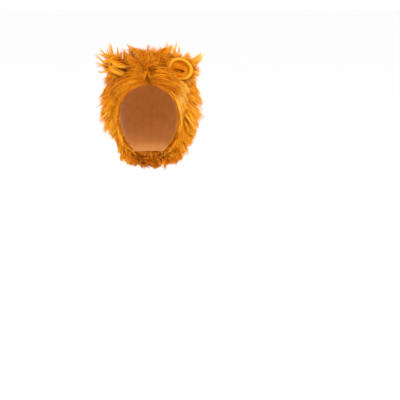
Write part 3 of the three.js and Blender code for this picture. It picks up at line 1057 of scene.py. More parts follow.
@dataclass(frozen=True)
class EarForm:
    """One ear: where it roots, how it points, faces and curls, its folds and its back's locks."""

    side: Side
    turn: float
    along: float
    point: tuple[float, float, float]
    face: tuple[float, float, float]
    curl: float
    bowl: float
    pile: float
    locks: tuple[EarLock, ...]
    folds: tuple[Fold, ...]
    half_width: float = 32 * MM
    half_length: float = 26 * MM
    plush: float = 4.2 * MM
    rim: float = 9 * MM
    seat: float = 0.9
    room_behind: float = 16 * MM
    room_before: float = 7 * MM
    view_before: float = 60 * MM

    def axes(self, hood: HoodForm) -> tuple[Array, Array, Array, Array]:
        """Where the ear stands on the hood.

        Args:
            hood: the hood.
        Returns:
            The ear's middle, and its unit axes: the way it points, across it, the way it faces.
        """
        turn, along = np.array([self.side.value * self.turn]), np.array([self.along])
        root = hood.place(turn, along, np.array([hood.backing]))[0]
        point = unit(np.array(self.point))
        across = unit(np.cross(point, np.array(self.face)))
        return root + point * self.half_length * self.seat, point, across, np.cross(across, point)

    def at(self, hood: HoodForm, share: Array, angle: Array, height: Array) -> Array:
        """Points at a share of the outline, an angle from the tip and a height to the face.

        Sideways distance s wraps on the curl radius c: (c - h) sin(s / c) across and
        c - (c - h) cos(s / c) to the face.

        Args:
            hood: the hood that the ear stands on.
            share: 0 in the middle to 1 at the outline.
            angle: radians from the tip.
            height: metres towards the face.
        Returns:
            Points, (..., 3).
        """
        middle, point, across, face = self.axes(hood)
        bend = share * self.half_width * np.sin(angle) / self.curl
        upwards = share * self.half_length * np.cos(angle)
        sideways = self.side.value * (self.curl - height) * np.sin(bend)
        forward = self.curl - (self.curl - height) * np.cos(bend)
        return (
            middle
            + sideways[..., None] * across
            + upwards[..., None] * point
            + forward[..., None] * face
        )

    def holds(self, hood: HoodForm, points: Array) -> Array:
        """Whether points lie in the room of the ear or in front of it, above its overlapped foot.

        The room is a flat disc, or a roll of the curl's radius where the ear is curled. The pile
        may lie over the foot, which rises towards the crown seam.

        Args:
            hood: the hood that the ear stands on.
            points: places, (..., 3).
        Returns:
            True or false for each place.
        """
        middle, point, across, face = self.axes(hood)
        local = points - middle
        up, side, fore = local @ point, local @ across, local @ face
        if self.curl < self.half_width:
            roll = np.hypot(side, fore - self.curl)
            inside = (roll < self.curl + self.rim * 0.6) & (np.abs(up) < self.half_length)
            before = np.abs(side) < self.curl + self.rim * 0.5
            before &= (fore > self.curl) & (fore < self.view_before)
            return inside | (before & (up > -self.half_length * 0.85) & (up < self.half_length))
        disc = (side / self.half_width) ** 2 + (up / self.half_length) ** 2
        inside = (disc < 0.95) & (fore > -self.room_behind) & (fore < self.room_before)
        foot = up > 0.75 * np.clip(-side, 0, None) - self.half_length * 0.9
        before = (disc < 1.0) & (fore > 0) & (fore < self.view_before) & foot
        return inside | before


EAR_RIGHT = EarForm(
    side=Side.RIGHT,
    turn=46.5,
    along=0.27,
    point=(0.34, 0.1, 0.94),
    face=(0.05, -1, -0.05),
    curl=62 * MM,
    bowl=7 * MM,
    pile=8 * MM,
    locks=(
        EarLock(-34, 0.8, 1, 0.3),
        EarLock(8, 0.6, 0.9, 0.2),
        EarLock(42, 1, 1.2, 0),
        EarLock(84, 0.65, 0.8, -0.1),
    ),
    folds=(
        Fold(-0.2, -0.24, 0.24, 0.62, 0.085, -6, -0.85),
        Fold(-0.1, 0.2, 0, 0.5, 0.18, 2, 0.05),
        Fold(0.44, -0.1, 0, 0.17, 0.3, 5, 0.42),
        Fold(0, -0.52, 0.1, 0.5, 0.13, 4.5, 0.3),
    ),
)
EAR_LEFT = EarForm(
    side=Side.LEFT,
    turn=30,
    along=0.25,
    point=(-0.91, 0.1, 0.38),
    face=(-0.1, -0.94, -0.3),
    curl=12 * MM,
    bowl=1.5 * MM,
    pile=5 * MM,
    locks=(
        EarLock(-46, 0.75, 1, 0.3),
        EarLock(-16, 0.8, 1, 0.1),
        EarLock(14, 0.7, 0.9, 0),
        EarLock(46, 0.6, 0.8, 0),
    ),
    folds=(
        Fold(0.5, 0, 0, 0.36, 1.1, 7, 0.7),
        Fold(-0.5, 0.1, 0, 0.36, 1.1, 4, 0.5),
        Fold(0.85, 0.7, 0, 0.4, 0.7, 6, 0.4),
        Fold(-0.85, 0.7, 0, 0.4, 0.7, 6, 0.4),
    ),
)
EARS = (EAR_RIGHT, EAR_LEFT)


@dataclass
class LockShape:
    """Horns of fur on bent paths: root, first and last direction, flat direction and sizes."""

    root: Array
    first: Array
    last: Array
    flat: Array
    length: Array
    width: Array
    thickness: Array
    tone: Array
    splay: float = 0.06
    shortest: float = 0.6
    least_section: float = 0.42
    flatness: float = 0.38
    foot: float = 0.35
    sunk: float = 3 * MM

    def hairs(
        self, rng: np.random.Generator, tufts: int, per_tuft: int, steps: int, radius: float
    ) -> Strands:
        """Hairs that fill the horns, gathered in tufts that each run to their own point.

        A hair lies at its tuft's place in the horn's three-sided section, whose size goes as
        (1 + t/2)(1 - t)^0.72 down to the least section, and closes on its tuft towards the tip.
        Over its foot it rises from within the pile.

        Args:
            rng: the random draws.
            tufts: tufts in each horn.
            per_tuft: hairs in each tuft.
            steps: points on each hair.
            radius: a hair's radius at its root.
        Returns:
            The hairs.
        """
        horns = len(self.root)
        shape = (horns, tufts, per_tuft)
        corners = np.array([[0.0, 1.0], [0.87, -0.5], [-0.87, -0.5]])
        mixes = rng.dirichlet([0.9, 0.9, 0.9], (horns, tufts))
        centre = (mixes @ corners)[:, :, None, :]
        spread = rng.normal(0, 0.12, (*shape, 2))
        splay = rng.normal(0, self.splay, (horns, tufts, 1, 3))
        splay = splay + rng.normal(0, self.splay * 0.4, (*shape, 3))
        reach = rng.uniform(self.shortest, 1.02, (horns, tufts, 1)) * rng.uniform(0.85, 1.06, shape)
        reach = np.where(rng.random(shape) < 0.08, np.minimum(reach * 1.15, 1.12), reach)
        t = np.linspace(0, 1, steps)
        along = reach[..., None] * t
        half = self.length[:, None, None, None, None] / 2
        root = self.root[:, None, None, None]
        first, last = self.first[:, None, None, None], self.last[:, None, None, None]
        w = along[..., None]
        middle = root + first * half * 2 * w * (1 - w) + (first + last) * half * w**2
        tangent = unit(first * (1 - w) + last * w)
        up = unit(np.cross(self.flat[:, None, None, None], tangent))
        across = np.cross(tangent, up)
        full = (1 + 0.5 * along) * np.clip(1 - along, 0.0, 1) ** 0.72
        full = np.maximum(full, self.least_section)
        emerge = smooth(t / self.foot)
        gather = (1 - 0.85 * t) / np.maximum(full, 0.25)
        place = centre[..., None, :] + spread[..., None, :] * gather[..., None]
        wide = place[..., 0] * full * self.width[:, None, None, None] / 2
        high = place[..., 1] * full * self.thickness[:, None, None, None] * self.flatness * emerge
        high = high - self.sunk * (1 - emerge)
        paths = middle + across * wide[..., None] + up * high[..., None]
        paths = paths + splay[..., None, :] * (self.length[:, None, None, None, None] * w**2)
        tone = self.tone[:, None, None] + rng.normal(0, 0.06, (horns, tufts, 1))
        tone = tone + rng.normal(0, 0.05, shape)
        count = horns * tufts * per_tuft
        return Strands(
            paths.reshape(count, steps, 3),
            (radius * rng.uniform(0.75, 1.15, shape)).ravel(),
            tone.ravel(),
        )


class TuftRoots(NamedTuple):
    """Where tufts root on a panel, and the number of each one's group."""

    turn: Array
    along: Array
    group: Array

    @property
    def from_seam(self) -> Array:
        """Degrees from the crown seam, whatever the side."""
        return np.abs(self.turn)

    @property
    def on_brow(self) -> Array:
        """1 on the brow, where the pile is long and combed flat, and 0 away from it."""
        return falling(self.along, 0.2, 0.12) * falling(self.from_seam, 75, 25)

    @property
    def on_throat(self) -> Array:
        """1 under the chin, where the pile is tousled, and 0 away from it."""
        return rising(self.from_seam, 115, 25) * falling(self.along, 0.3, 0.15)

    def among(self, group: Group) -> Array:
        """Which tufts are in a group."""
        return self.group == group.value


@dataclass
class ManePanel:
    """One fur panel of the hood: its backing, the dense base of the pile, the pile, the locks."""

    side: Side
    hood: HoodForm
    lie: PileLie
    seed: int
    lock_length: float = 68 * MM
    lock_width: float = 40 * MM
    lock_thickness: float = 20 * MM
    lock_tufts: int = 28
    lock_hairs: int = 5
    tuft_count: int = 850
    rim_hairs: int = 900
    stray_count: int = 120
    stray_tufts: int = 2
    stray_hairs: int = 3
    hairs_per_tuft: int = 6
    pile_steps: int = 5
    lock_steps: int = 6
    least_length: float = 31 * MM
    brow_length: float = 1.5
    nape_length: float = 1.25
    neck_length: float = 0.52
    tuft_spread: float = 3.4 * MM
    tuft_closing: float = 0.36
    wave_size: float = 45 * MM
    bump_size: float = 14 * MM
    hair_radius: float = 0.6 * MM
    nape_thickness: float = 1.4
    tousled_hairs: tuple[float, float] = (0.66, 1.26)
    even_hairs: tuple[float, float] = (0.72, 1.15)
    turn_swing: float = 7
    along_swing: float = 0.05
    sleek_turn: float = 52
    sleek_along: float = 0.14
    ear_room: float = 1.15
    stray_turn: tuple[float, float] = (62, 128)
    stray_along: tuple[float, float] = (0.1, 0.6)
    stray_width: tuple[float, float] = (5, 10)
    base_share: float = 0.5
    base_painted_shade: float = -0.12
    wall_grid: tuple[int, int] = (72, 44)
    flat: tuple[float, float] = (0.308, 0.382)
    flat_area: float = 0.0566
    allowance: float = 7 * MM
    hem: float = 11 * MM
    seam_bulge: float = 0.9 * MM
    run_length: float = 190 * MM

    def grid(self, seam: float, fine_edges: bool = False) -> tuple[Array, Array]:
        """A grid of turns and of places along.

        Args:
            seam: degrees that the grid ends short of the seams.
            fine_edges: whether the columns crowd to both seams and the rows to the face edge.
        Returns:
            The turns and the places along.
        """
        columns, rows = np.linspace(0, 1, self.wall_grid[0]), np.linspace(0, 1, self.wall_grid[1])
        if fine_edges:
            columns, rows = (1 - np.cos(math.pi * columns)) / 2, rows**1.6
        return np.meshgrid(blend(seam, 180 - seam, columns) * self.side.value, rows)

    def backing(self) -> bpy.types.Object:
        """The knit wall of the panel, from the inside of the hood out to the backing's depth,
        thicker inwards where the hem and the seam allowances are turned in."""
        gap = self.hood.clearance / self.hood.head_width
        turn, along = self.grid(math.degrees(gap ** (1 / self.hood.squareness)), fine_edges=True)
        lie = self.hood.frame(turn, along)
        off_seam = np.minimum(np.abs(turn), 180 - np.abs(turn)) * lie.per_degree
        off_edge = along * lie.per_share
        turned = np.maximum(falling(off_seam, self.allowance, MM), falling(off_edge, self.hem, MM))
        stitched = np.exp(-(((off_edge - self.hem * 0.7) / MM) ** 2))
        inner = self.hood.place(turn, along, -self.seam_bulge * turned * (1 - 0.6 * stitched))
        outer = self.hood.place(turn, along, np.full_like(turn, self.hood.backing))
        points, faces = MeshMaker.wall(inner, outer)
        girth = np.abs(turn) * lie.per_degree.mean()
        run = along * self.run_length
        marks = {"girth": np.tile(girth.ravel(), 2), "run": np.tile(run.ravel(), 2)}
        return MeshMaker.make(f"backing_{self.side.word}", points, faces, marks)

    def base(self) -> bpy.types.Object:
        """The dense base of the pile: a wall over the backing with a rippled outer face, painted
        deeper as shade in the depth of the fur.
        """
        turn, along = self.grid(seam=0)
        low = np.full_like(turn, self.hood.backing + self.hood.clearance)
        inner = self.hood.place(turn, along, low)
        rise = self.lie.depth(turn, along) * self.base_share
        bumps = 1 + 0.3 * ripple(inner, self.bump_size, self.seed)
        outer = self.hood.place(turn, along, low + rise * bumps)
        points, faces = MeshMaker.wall(inner, outer)
        # Painted shade: the base takes a deeper tone, and its root mark darkens it most on the
        # inner face and on the front
        tone = self.lie.at(turn, along)["tone"] + self.base_painted_shade
        outside = blend(0.06, 0.34, self.far_back(along)).ravel()
        marks = {
            "tone": np.tile(tone.ravel(), 2),
            "root_tip": np.concatenate([np.zeros(turn.size), outside]),
        }
        return MeshMaker.make(f"pile_base_{self.side.word}", points, faces, marks)

    def roots(self, rng: np.random.Generator, count: int) -> tuple[Array, Array]:
        """Places spread evenly over the cloth: random places kept by the cloth's area there.

        Args:
            rng: the random draws.
            count: how many places to keep.
        Returns:
            Turns and shares along.
        """
        tries = count * 8
        turn = rng.uniform(0.4, 179.6, tries) * self.side.value
        along = rng.uniform(0, 1, tries)
        lie = self.hood.frame(turn, along)
        slant = np.linalg.norm(np.cross(lie.side, lie.back), axis=-1)
        area = lie.per_degree * lie.per_share * slant
        density = area / area.max() * blend(0.95, 0.5, self.far_back(along))
        kept = np.flatnonzero(rng.random(tries) < density)[:count]
        return turn[kept], along[kept]

    @staticmethod
    def far_back(along: Array) -> Array:
        """0 on the front of the hood and 1 on its back, where fewer and thicker hairs do."""
        return rising(along, 0.35, 0.25)

    def combed(
        self, turn: Array, along: Array, height: Array, length: Array, swing: Array
    ) -> Array:
        """Paths that hug the hood: small steps along the lie of the pile, turned down by its
        weight towards the tip.

        Args:
            turn: roots in degrees.
            along: roots as a share of the way.
            height: roots off the inside of the cloth.
            length: hair lengths.
            swing: (n, 2), added to the direction away from the seam and to the neck.
        Returns:
            Points, (n, steps, 3).
        """
        lie = self.lie.at(turn, np.clip(along, 0, 1))
        step = length / (self.pile_steps - 1)
        sideways = np.where(turn < 0, -1.0, 1.0)
        path = [self.hood.place(turn, along, height)]
        for k in range(1, self.pile_steps):
            t = (k - 0.5) / (self.pile_steps - 1)
            frame_here = self.hood.frame(turn, np.clip(along, 0, 1))
            cosine = (frame_here.side * frame_here.back).sum(-1)
            fall_side, fall_back = -frame_here.side[:, 2], -frame_here.back[:, 2]
            square = 1 - cosine**2
            down = lie["down"] * t
            side = blend(lie["side"], lie["tip_side"], t) + swing[:, 0]
            side = side + down * (fall_side - cosine * fall_back) / square
            back = blend(lie["back"], lie["tip_back"], t) + swing[:, 1]
            back = back + down * (fall_back - cosine * fall_side) / square
            out = blend(lie["out"] * 0.75, lie["tip_out"] * 0.4, t)
            size = np.sqrt(out**2 + side**2 + back**2 + 2 * cosine * side * back)
            size = np.maximum(size, 0.05)
            turn = turn + sideways * side / size * step / frame_here.per_degree
            along = along + back / size * step / frame_here.per_share
            height = height + out / size * step
            path.append(self.hood.place(turn, along, height))
        return np.stack(path, axis=1)

    def tuft_roots(self, rng: np.random.Generator) -> TuftRoots:
        """Where the tufts of the pile root: the cover over the whole panel, then each group.

        Args:
            rng: the random draws.
        Returns:
            The roots, in that order.
        """
        turn, along = self.roots(rng, self.tuft_count)
        turns, alongs = [turn], [along]
        groups = [np.full(len(turn), Group.COVER.value)]
        for row in TUFT_GROUPS:
            turns.append(self.side.value * rng.uniform(*row.turn, row.count))
            alongs.append(rng.uniform(*row.along, row.count))
            groups.append(np.full(row.count, row.group.value))
        return TuftRoots(np.concatenate(turns), np.concatenate(alongs), np.concatenate(groups))

    def tuft_lengths(
        self, rng: np.random.Generator, tufts: TuftRoots, lie: dict[str, Array]
    ) -> Array:
        """How long each tuft is: by the zones, longer on the brow and at the nape, and shorter
        where the neck edge runs down the sides.

        Args:
            rng: the random draws.
            tufts: the tufts' roots.
            lie: the lie of the pile there.
        Returns:
            Lengths in metres.
        """
        length = np.maximum(self.lock_length * lie["length"], self.least_length)
        length = length * rng.uniform(0.62, 0.9, len(length))
        length = length * blend(1, self.brow_length, tufts.on_brow)
        length = length * np.where(tufts.among(Group.NAPE), self.nape_length, 1)
        at_neck = rising(tufts.along, 0.84, 0.08) * rising(tufts.from_seam, 42, 26)
        return length * blend(1, self.neck_length, at_neck)

    def tuft_swings(
        self, rng: np.random.Generator, tufts: TuftRoots, lie: dict[str, Array]
    ) -> Array:
        """How each tuft swings off the lie of the pile: in waves, wildly on the crown and under
        the chin, over the seam behind the brow, and forwards at the face edge.

        Args:
            rng: the random draws.
            tufts: the tufts' roots.
            lie: the lie of the pile there.
        Returns:
            (n, 2), added to the direction away from the seam and to the neck.
        """
        along, from_seam, count = tufts.along, tufts.from_seam, len(tufts.turn)
        # Tousled on the crown and the throat, and calm on the brow
        spot = self.hood.place(tufts.turn, along, np.zeros(count))
        wave = np.stack([ripple(spot, self.wave_size, self.seed + k) for k in (2, 3)], -1)
        wild = rising(along, 0.1, 0.1) * falling(along, 0.8, 0.2) * falling(from_seam, 52, 16)
        wild = np.maximum(wild, 0.6 * rising(from_seam, 135, 20))
        noise = rng.normal(0, 1, (count, 2)) * (0.1 + 0.7 * wild)[:, None]
        swing = (0.16 * wave + noise) * blend(1, 0.45, tufts.on_brow)[:, None]
        # Behind the brow, the pile leans back over the seam
        by_seam = falling(from_seam, 16, 10) * rising(along, 0.09, 0.05)
        by_seam = by_seam * blend(1, 0.6, rising(along, 0.6, 0.3))
        swing[:, 0] -= lie["side"] * by_seam * rng.uniform(0, 3.4, count)
        # The face edge is brushed forwards, most of all along the jaw
        at_face = tufts.among(Group.FACE)
        loose = rng.normal(0, 0.3, (count, 2)) * (at_face & (from_seam > 80))[:, None]
        tousle = np.random.default_rng(self.seed + 8).normal(0, 0.5, (count, 2))
        swing = swing + (loose + tousle * tufts.on_throat[:, None])
        on_jaw = rising(from_seam, 95, 20) * falling(from_seam, 165, 15)
        swing[:, 1] -= np.where(at_face, 0.3 + 0.5 * lie["back"] + 0.5 * on_jaw, 0)
        return swing

    def pile(self) -> bpy.types.Object:
        """The combed pile: hairs in tufts, each tuft closing on its middle hair."""
        rng = np.random.default_rng(self.seed + 1)
        tufts = self.tuft_roots(rng)
        turn, along = tufts.turn, tufts.along
        lie = self.lie.at(turn, along)
        length = self.tuft_lengths(rng, tufts, lie)
        swing = self.tuft_swings(rng, tufts, lie)
        height = self.hood.backing + self.lie.depth(turn, along) * self.base_share * 0.8
        middle = self.combed(turn, along, height, length, swing)
        # Each hair roots beside its tuft's middle, and takes its length and swing with a change
        owner = np.repeat(np.arange(len(turn)), self.hairs_per_tuft)
        count = len(owner)
        here = self.hood.frame(turn, along)
        width = np.where(tufts.among(Group.FACE), 0.3, 1)[owner, None]
        offset = rng.normal(0, self.tuft_spread, (count, 2)) * width
        own_turn = turn[owner] + self.side.value * offset[:, 0] / here.per_degree[owner]
        own_turn = self.side.value * np.clip(self.side.value * own_turn, 0.3, 179.7)
        own_along = np.clip(along[owner] + offset[:, 1] / here.per_share[owner], 0.002, 0.998)
        on_nape = tufts.among(Group.NAPE)
        even = np.maximum(tufts.on_brow, on_nape)[owner]
        ends = zip(self.tousled_hairs, self.even_hairs)
        shortest, longest = (blend(tousled, combed, even) for tousled, combed in ends)
        own_length = length[owner] * blend(shortest, longest, rng.uniform(0, 1, count))
        own_height = height[owner] * rng.uniform(0.6, 1.9, count)
        own_swing = swing[owner] + rng.normal(0, 0.06, (count, 2))
        paths = self.combed(own_turn, own_along, own_height, own_length, own_swing)
        t = np.linspace(0, 1, self.pile_steps)[None, :, None]
        paths = blend(paths, middle[owner], self.tuft_closing * smooth(t))
        spread = 0.08 + 0.14 * tufts.on_throat
        tone = lie["tone"][owner] + (rng.normal(0, 1, len(turn)) * spread)[owner]
        tone = tone + rng.normal(0, 0.09, count)
        radius = self.hair_radius * rng.uniform(0.8, 1.15, count)
        radius = radius * blend(0.92, 1.3, self.far_back(along[owner]))
        radius = radius * np.where(on_nape, self.nape_thickness, 1)[owner]
        strands = Strands(paths, radius, tone).clear_of_ears(self.hood).hung(self.seed)
        return strands.joined(self.rim(rng)).build(f"pile_{self.side.word}", self.seed)

    def rim(self, rng: np.random.Generator) -> Strands:
        """Short hairs that wrap the face edge: they leave the cut edge of the backing forwards
        by a sin(pi t / 2), rise off it by b t^1.5 and lie sideways by c t.

        Args:
            rng: the random draws.
        Returns:
            The hairs.
        """
        count = self.rim_hairs
        turn = self.side.value * rng.uniform(-0.9, 180.5, count)
        here = self.hood.frame(turn, np.zeros(count))
        t = np.linspace(0, 1, self.pile_steps)[None]
        forward = rng.uniform(1.0, 7.0, count) * MM / here.per_share
        wraps_inwards = rng.random(count) < 0.35
        inwards, outwards = rng.uniform(-5, 1, count), rng.uniform(5, 14, count)
        rise = np.where(wraps_inwards, inwards, outwards) * MM
        drift = self.side.value * rng.uniform(-3, 12, count) * MM / here.per_degree
        start = rng.uniform(0.1, 1.0, count) * self.hood.backing
        turns = turn[:, None] + drift[:, None] * t
        alongs = 0.004 - forward[:, None] * np.sin(t * math.pi / 2)
        heights = start[:, None] + rise[:, None] * t**1.5
        # Painted shade: the face edge's hairs are painted deeper than the pile there
        tone = self.lie.at(turn, np.zeros(count))["tone"] + rng.normal(-0.12, 0.1, count)
        radius = self.hair_radius * rng.uniform(0.6, 0.9, count)
        return Strands(self.hood.place(turns, alongs, heights), radius, tone)

    def lock_table(self) -> LockShape:
        """The locks' roots, paths and sizes, by the same rings and swings as the part's own. None
        root under an ear or on the sleek brow.

        Returns:
            The locks.
        """
        first_id = 0 if self.side is Side.RIGHT else LEFT_IDS
        rows = [
            (
                r * RING_IDS + k + first_id,
                ring.start + (ring.end - ring.start) * k / (ring.count - 1),
                ring.along,
            )
            for r, ring in enumerate(LOCK_RINGS)
            for k in range(ring.count)
        ]
        ids, spread, place = np.array(rows, float).T

        def swing(seed: int) -> Array:
            """A repeatable number from -1 to 1 for each lock."""
            return scatter(ids, seed) * 2 - 1

        turn = self.side.value * (spread + self.turn_swing * swing(1))
        along = np.clip(place + self.along_swing * swing(2), 0.03, 0.97)
        here = self.hood.frame(turn, along)
        lie = self.lie.at(turn, along)
        depth = self.lie.depth(turn, along)
        root = self.hood.place(turn, along, self.hood.backing + depth * 0.75)
        first = (
            here.out * lie["out"][:, None]
            + here.side * (lie["side"] + 0.2 * swing(3))[:, None]
            + here.back * lie["back"][:, None]
        )
        last = (
            here.out * lie["tip_out"][:, None]
            + here.side * (lie["tip_side"] + 0.4 * swing(4))[:, None]
            + here.back * (lie["tip_back"] + 0.4 * swing(5))[:, None]
            - UP * lie["down"][:, None]
        )
        first, last = unit(first), unit(last)
        kept = (np.abs(turn) >= self.sleek_turn) | (along >= self.sleek_along)
        for ear in EARS:
            away = np.linalg.norm(root - ear.axes(self.hood)[0], axis=1)
            kept &= away >= ear.half_width * self.ear_room
        count = int(kept.sum())
        return LockShape(
            root[kept],
            first[kept],
            last[kept],
            unit(np.cross(first, here.out) + 0.3 * here.side)[kept],
            (self.lock_length * lie["length"] * (1 + 0.2 * swing(6)))[kept],
            np.full(count, self.lock_width),
            np.full(count, self.lock_thickness),
            lie["tone"][kept] + 0.06,
        )

    def strays(self, rng: np.random.Generator) -> LockShape:
        """Thin wisps that leave the pile outwards and flick out of the outline.

        Args:
            rng: the random draws.
        Returns:
            The wisps.
        """
        count = self.stray_count
        turn = self.side.value * rng.uniform(*self.stray_turn, count)
        along = rng.uniform(*self.stray_along, count)
        here, lie = self.hood.frame(turn, along), self.lie.at(turn, along)
        root = self.hood.place(turn, along, self.hood.backing + self.lie.depth(turn, along) * 0.8)
        swing = rng.normal(0, 0.25, (3, count, 1))
        outwards, sideways = here.out * (0.75 + swing[0]), here.side * (0.7 + swing[1])
        first = unit(outwards + sideways + here.back * swing[2])
        last = unit(first + here.out * 0.2 - UP * 1.1 * lie["down"][:, None])
        size = self.lock_length * lie["length"] * rng.uniform(0.55, 0.92, count)
        flat = unit(np.cross(first, here.out) + 0.3 * here.side)
        tone = lie["tone"] + rng.normal(0.08, 0.1, count)
        width = rng.uniform(*self.stray_width, count) * MM
        return LockShape(
            root, first, last, flat, size, width, width * 0.6, tone, splay=0.05, shortest=0.8
        )

    def locks(self) -> bpy.types.Object:
        """The panel's long locks and its stray wisps."""
        rng = np.random.default_rng(self.seed + 5)
        strands = self.lock_table().hairs(
            rng, self.lock_tufts, self.lock_hairs, self.lock_steps, self.hair_radius
        )
        strays = self.strays(rng).hairs(
            rng, self.stray_tufts, self.stray_hairs, self.lock_steps, self.hair_radius
        )
        strands = strands.joined(strays).clear_of_ears(self.hood)
        strands = strands.outside(self.hood).hung(self.seed + 7)
        return strands.build(f"locks_{self.side.word}", self.seed + 6)

    def build(self, knit: bpy.types.Material, fur: bpy.types.Material) -> None:
        """Makes and dresses the panel's pieces.

        Args:
            knit: the backing's material.
            fur: the pile's material.
        """
        backing = dress(self.backing(), knit, Slot.BACKING, f"hood_{self.side.word}")
        for piece in (self.base(), self.pile(), self.locks()):
            dress(piece, fur, Slot.PILE, f"mane_{self.side.word}")


@dataclass
class LionEar:
    """One ear: its plush cup and the fur on its back."""

    form: EarForm
    hood: HoodForm
    seed: int
    rounds: int = 72
    profile_steps: int = 60
    fur_hairs: int = 1300
    fur_length: tuple[float, float] = (13, 25)
    most_bend: float = 1.1
    lock_length: float = 42 * MM
    lock_width: float = 24 * MM
    lock_thickness: float = 11 * MM
    lock_tufts: int = 12
    lock_hairs: int = 12
    lock_radius: float = 0.6 * MM
    hair_steps: int = 5
    tone: float = 0.62

    def profile(self) -> tuple[Array, Array, Array]:
        """The cup's section from the pole in front over the rolled rim to the pole behind.

        Returns:
            Shares of the outline, heights, and how far each point belongs to the rim.
        """
        form = self.form
        rim = form.rim / 2
        reach = rim / form.half_width
        middle = 1 - reach
        front, back = -form.bowl, -form.bowl - form.plush
        rows = np.array(
            [
                (0.0, front, 0),
                (0.42, front * 0.88, 0),
                (middle - reach * 1.05, front * 0.45, 0.1),
                (middle - reach * 0.6, rim * 0.8, 0.8),
                (middle, rim, 1),
                (middle + reach * 0.75, rim * 0.7, 1),
                (middle + reach, 0, 0.9),
                (middle + reach * 0.75, -rim * 0.75, 0.6),
                (middle - reach * 0.3, back * 0.7, 0.3),
                (0.5, back * 0.92, 0),
                (0.0, back, 0),
            ]
        )
        line = SmoothLine(rows).at(np.linspace(0, 1, self.profile_steps))
        return np.clip(line[:, 0], 0, None), line[:, 1], np.clip(line[:, 2], 0, 1)

    def cup(self) -> bpy.types.Object:
        """The plush cup: the section carried round the ear, with its folds raised or pressed in and
        painted as shade in creases and light on swells. A fold acts on the front alone and fades as
        exp(-s^4 - u^2), with s across and u up."""
        share, height, rim = self.profile()
        angle = np.linspace(0, 2 * math.pi, self.rounds, endpoint=False)
        r, a = share[1:-1, None], angle[None, :]
        up, side = r * np.cos(a), r * np.sin(a)
        in_front = smooth(np.linspace(1, 0, self.profile_steps)[1:-1] * 3 - 1.2)[:, None]
        rise, shade = np.zeros_like(up), np.zeros_like(up)
        for fold in self.form.folds:
            off_side = side - fold.side
            off_up = up - fold.up - fold.slope * off_side
            swell = np.exp(-((off_side / fold.reach_side) ** 4) - (off_up / fold.reach_up) ** 2)
            rise = rise + fold.rise * MM * swell
            shade = shade + fold.shade * swell
        rows = self.form.at(self.hood, r, a, height[1:-1, None] + rise * in_front)
        points, faces = MeshMaker.loft(rows)
        # Painted shade and light: the folds darken the creases and pale the swells through the rim
        # mark
        rim_and_painted_shade = np.clip(rim[1:-1, None] + shade * in_front, -0.5, 1)
        marks = {"rim": np.append(rim_and_painted_shade.ravel(), [0.0, 0.0])}
        return MeshMaker.make(f"ear_{self.form.side.word}_plush", points, faces, marks)

    def locks(self) -> LockShape:
        """The long tufts round the ear, where the part has them.

        Returns:
            The tufts.
        """
        form = self.form
        table = np.array(form.locks)
        count = len(table)
        behind = -form.bowl - form.plush
        angle = np.radians(table[:, 0])
        under_pile = np.full(count, behind - form.pile * 0.4)
        root = form.at(self.hood, np.full(count, 0.6), angle, under_pile)
        edge = form.at(self.hood, np.ones(count), angle, np.full(count, behind / 2))
        outward = unit(edge - root)
        last = unit(outward + UP * table[:, 3:4])
        face = form.axes(self.hood)[3]
        return LockShape(
            root,
            outward,
            last,
            unit(np.cross(outward, face)),
            self.lock_length * table[:, 1] + form.half_length * 0.4,
            self.lock_width * table[:, 2],
            np.full(count, self.lock_thickness),
            np.full(count, self.tone + 0.08),
        )

    def fur(self) -> bpy.types.Object:
        """The shaggy back: hairs that leave the back outwards, and the long tufts. A curled ear's
        hairs root no further round its roll than the most bend, in radians."""
        form = self.form
        rng = np.random.default_rng(self.seed)
        count = self.fur_hairs
        share = np.sqrt(rng.uniform(0.02, 0.88, count))
        angle = rng.uniform(-math.pi, math.pi, count)
        behind = -form.bowl - form.plush
        bend = np.abs(share * form.half_width * np.sin(angle) / form.curl)
        held = share * self.most_bend / np.maximum(bend, 1e-6)
        share = np.where(bend > self.most_bend, held, share)
        root = form.at(self.hood, share, angle, np.full(count, behind * 0.9))
        edge = form.at(self.hood, share + 0.25, angle, np.full(count, behind * 0.9))
        outward = unit(edge - root)
        face = form.axes(self.hood)[3]
        drift = rng.normal(0, 0.22, (count, 3))
        first = unit(outward - face * 0.7 + drift)
        last = unit(outward - face * 0.1 + drift + UP * 0.1)
        length = rng.uniform(*self.fur_length, count)[:, None, None] * MM
        t = np.linspace(0, 1, self.hair_steps)[None, :, None]
        paths = root[:, None] + first[:, None] * length * t * (1 - t / 2)
        paths = paths + last[:, None] * length * t**2 / 2
        tone = self.tone + rng.normal(0, 0.1, count)
        short = Strands(paths, rng.uniform(0.5, 0.8, count) * MM, tone)
        long = self.locks().hairs(
            rng, self.lock_tufts, self.lock_hairs, self.hair_steps, self.lock_radius
        )
        return short.joined(long).build(f"ear_{form.side.word}_fur", self.seed)

    def build(self, plush: bpy.types.Material, fur: bpy.types.Material) -> None:
        """Makes and dresses the ear's pieces.

        Args:
            plush: the cup's material.
            fur: the back's material.
        """
        word = self.form.side.word
        cup = dress(self.cup(), plush, Slot.EAR, f"ear_{word}_cup")
        dress(self.fur(), fur, Slot.PILE, f"ear_{word}_back")


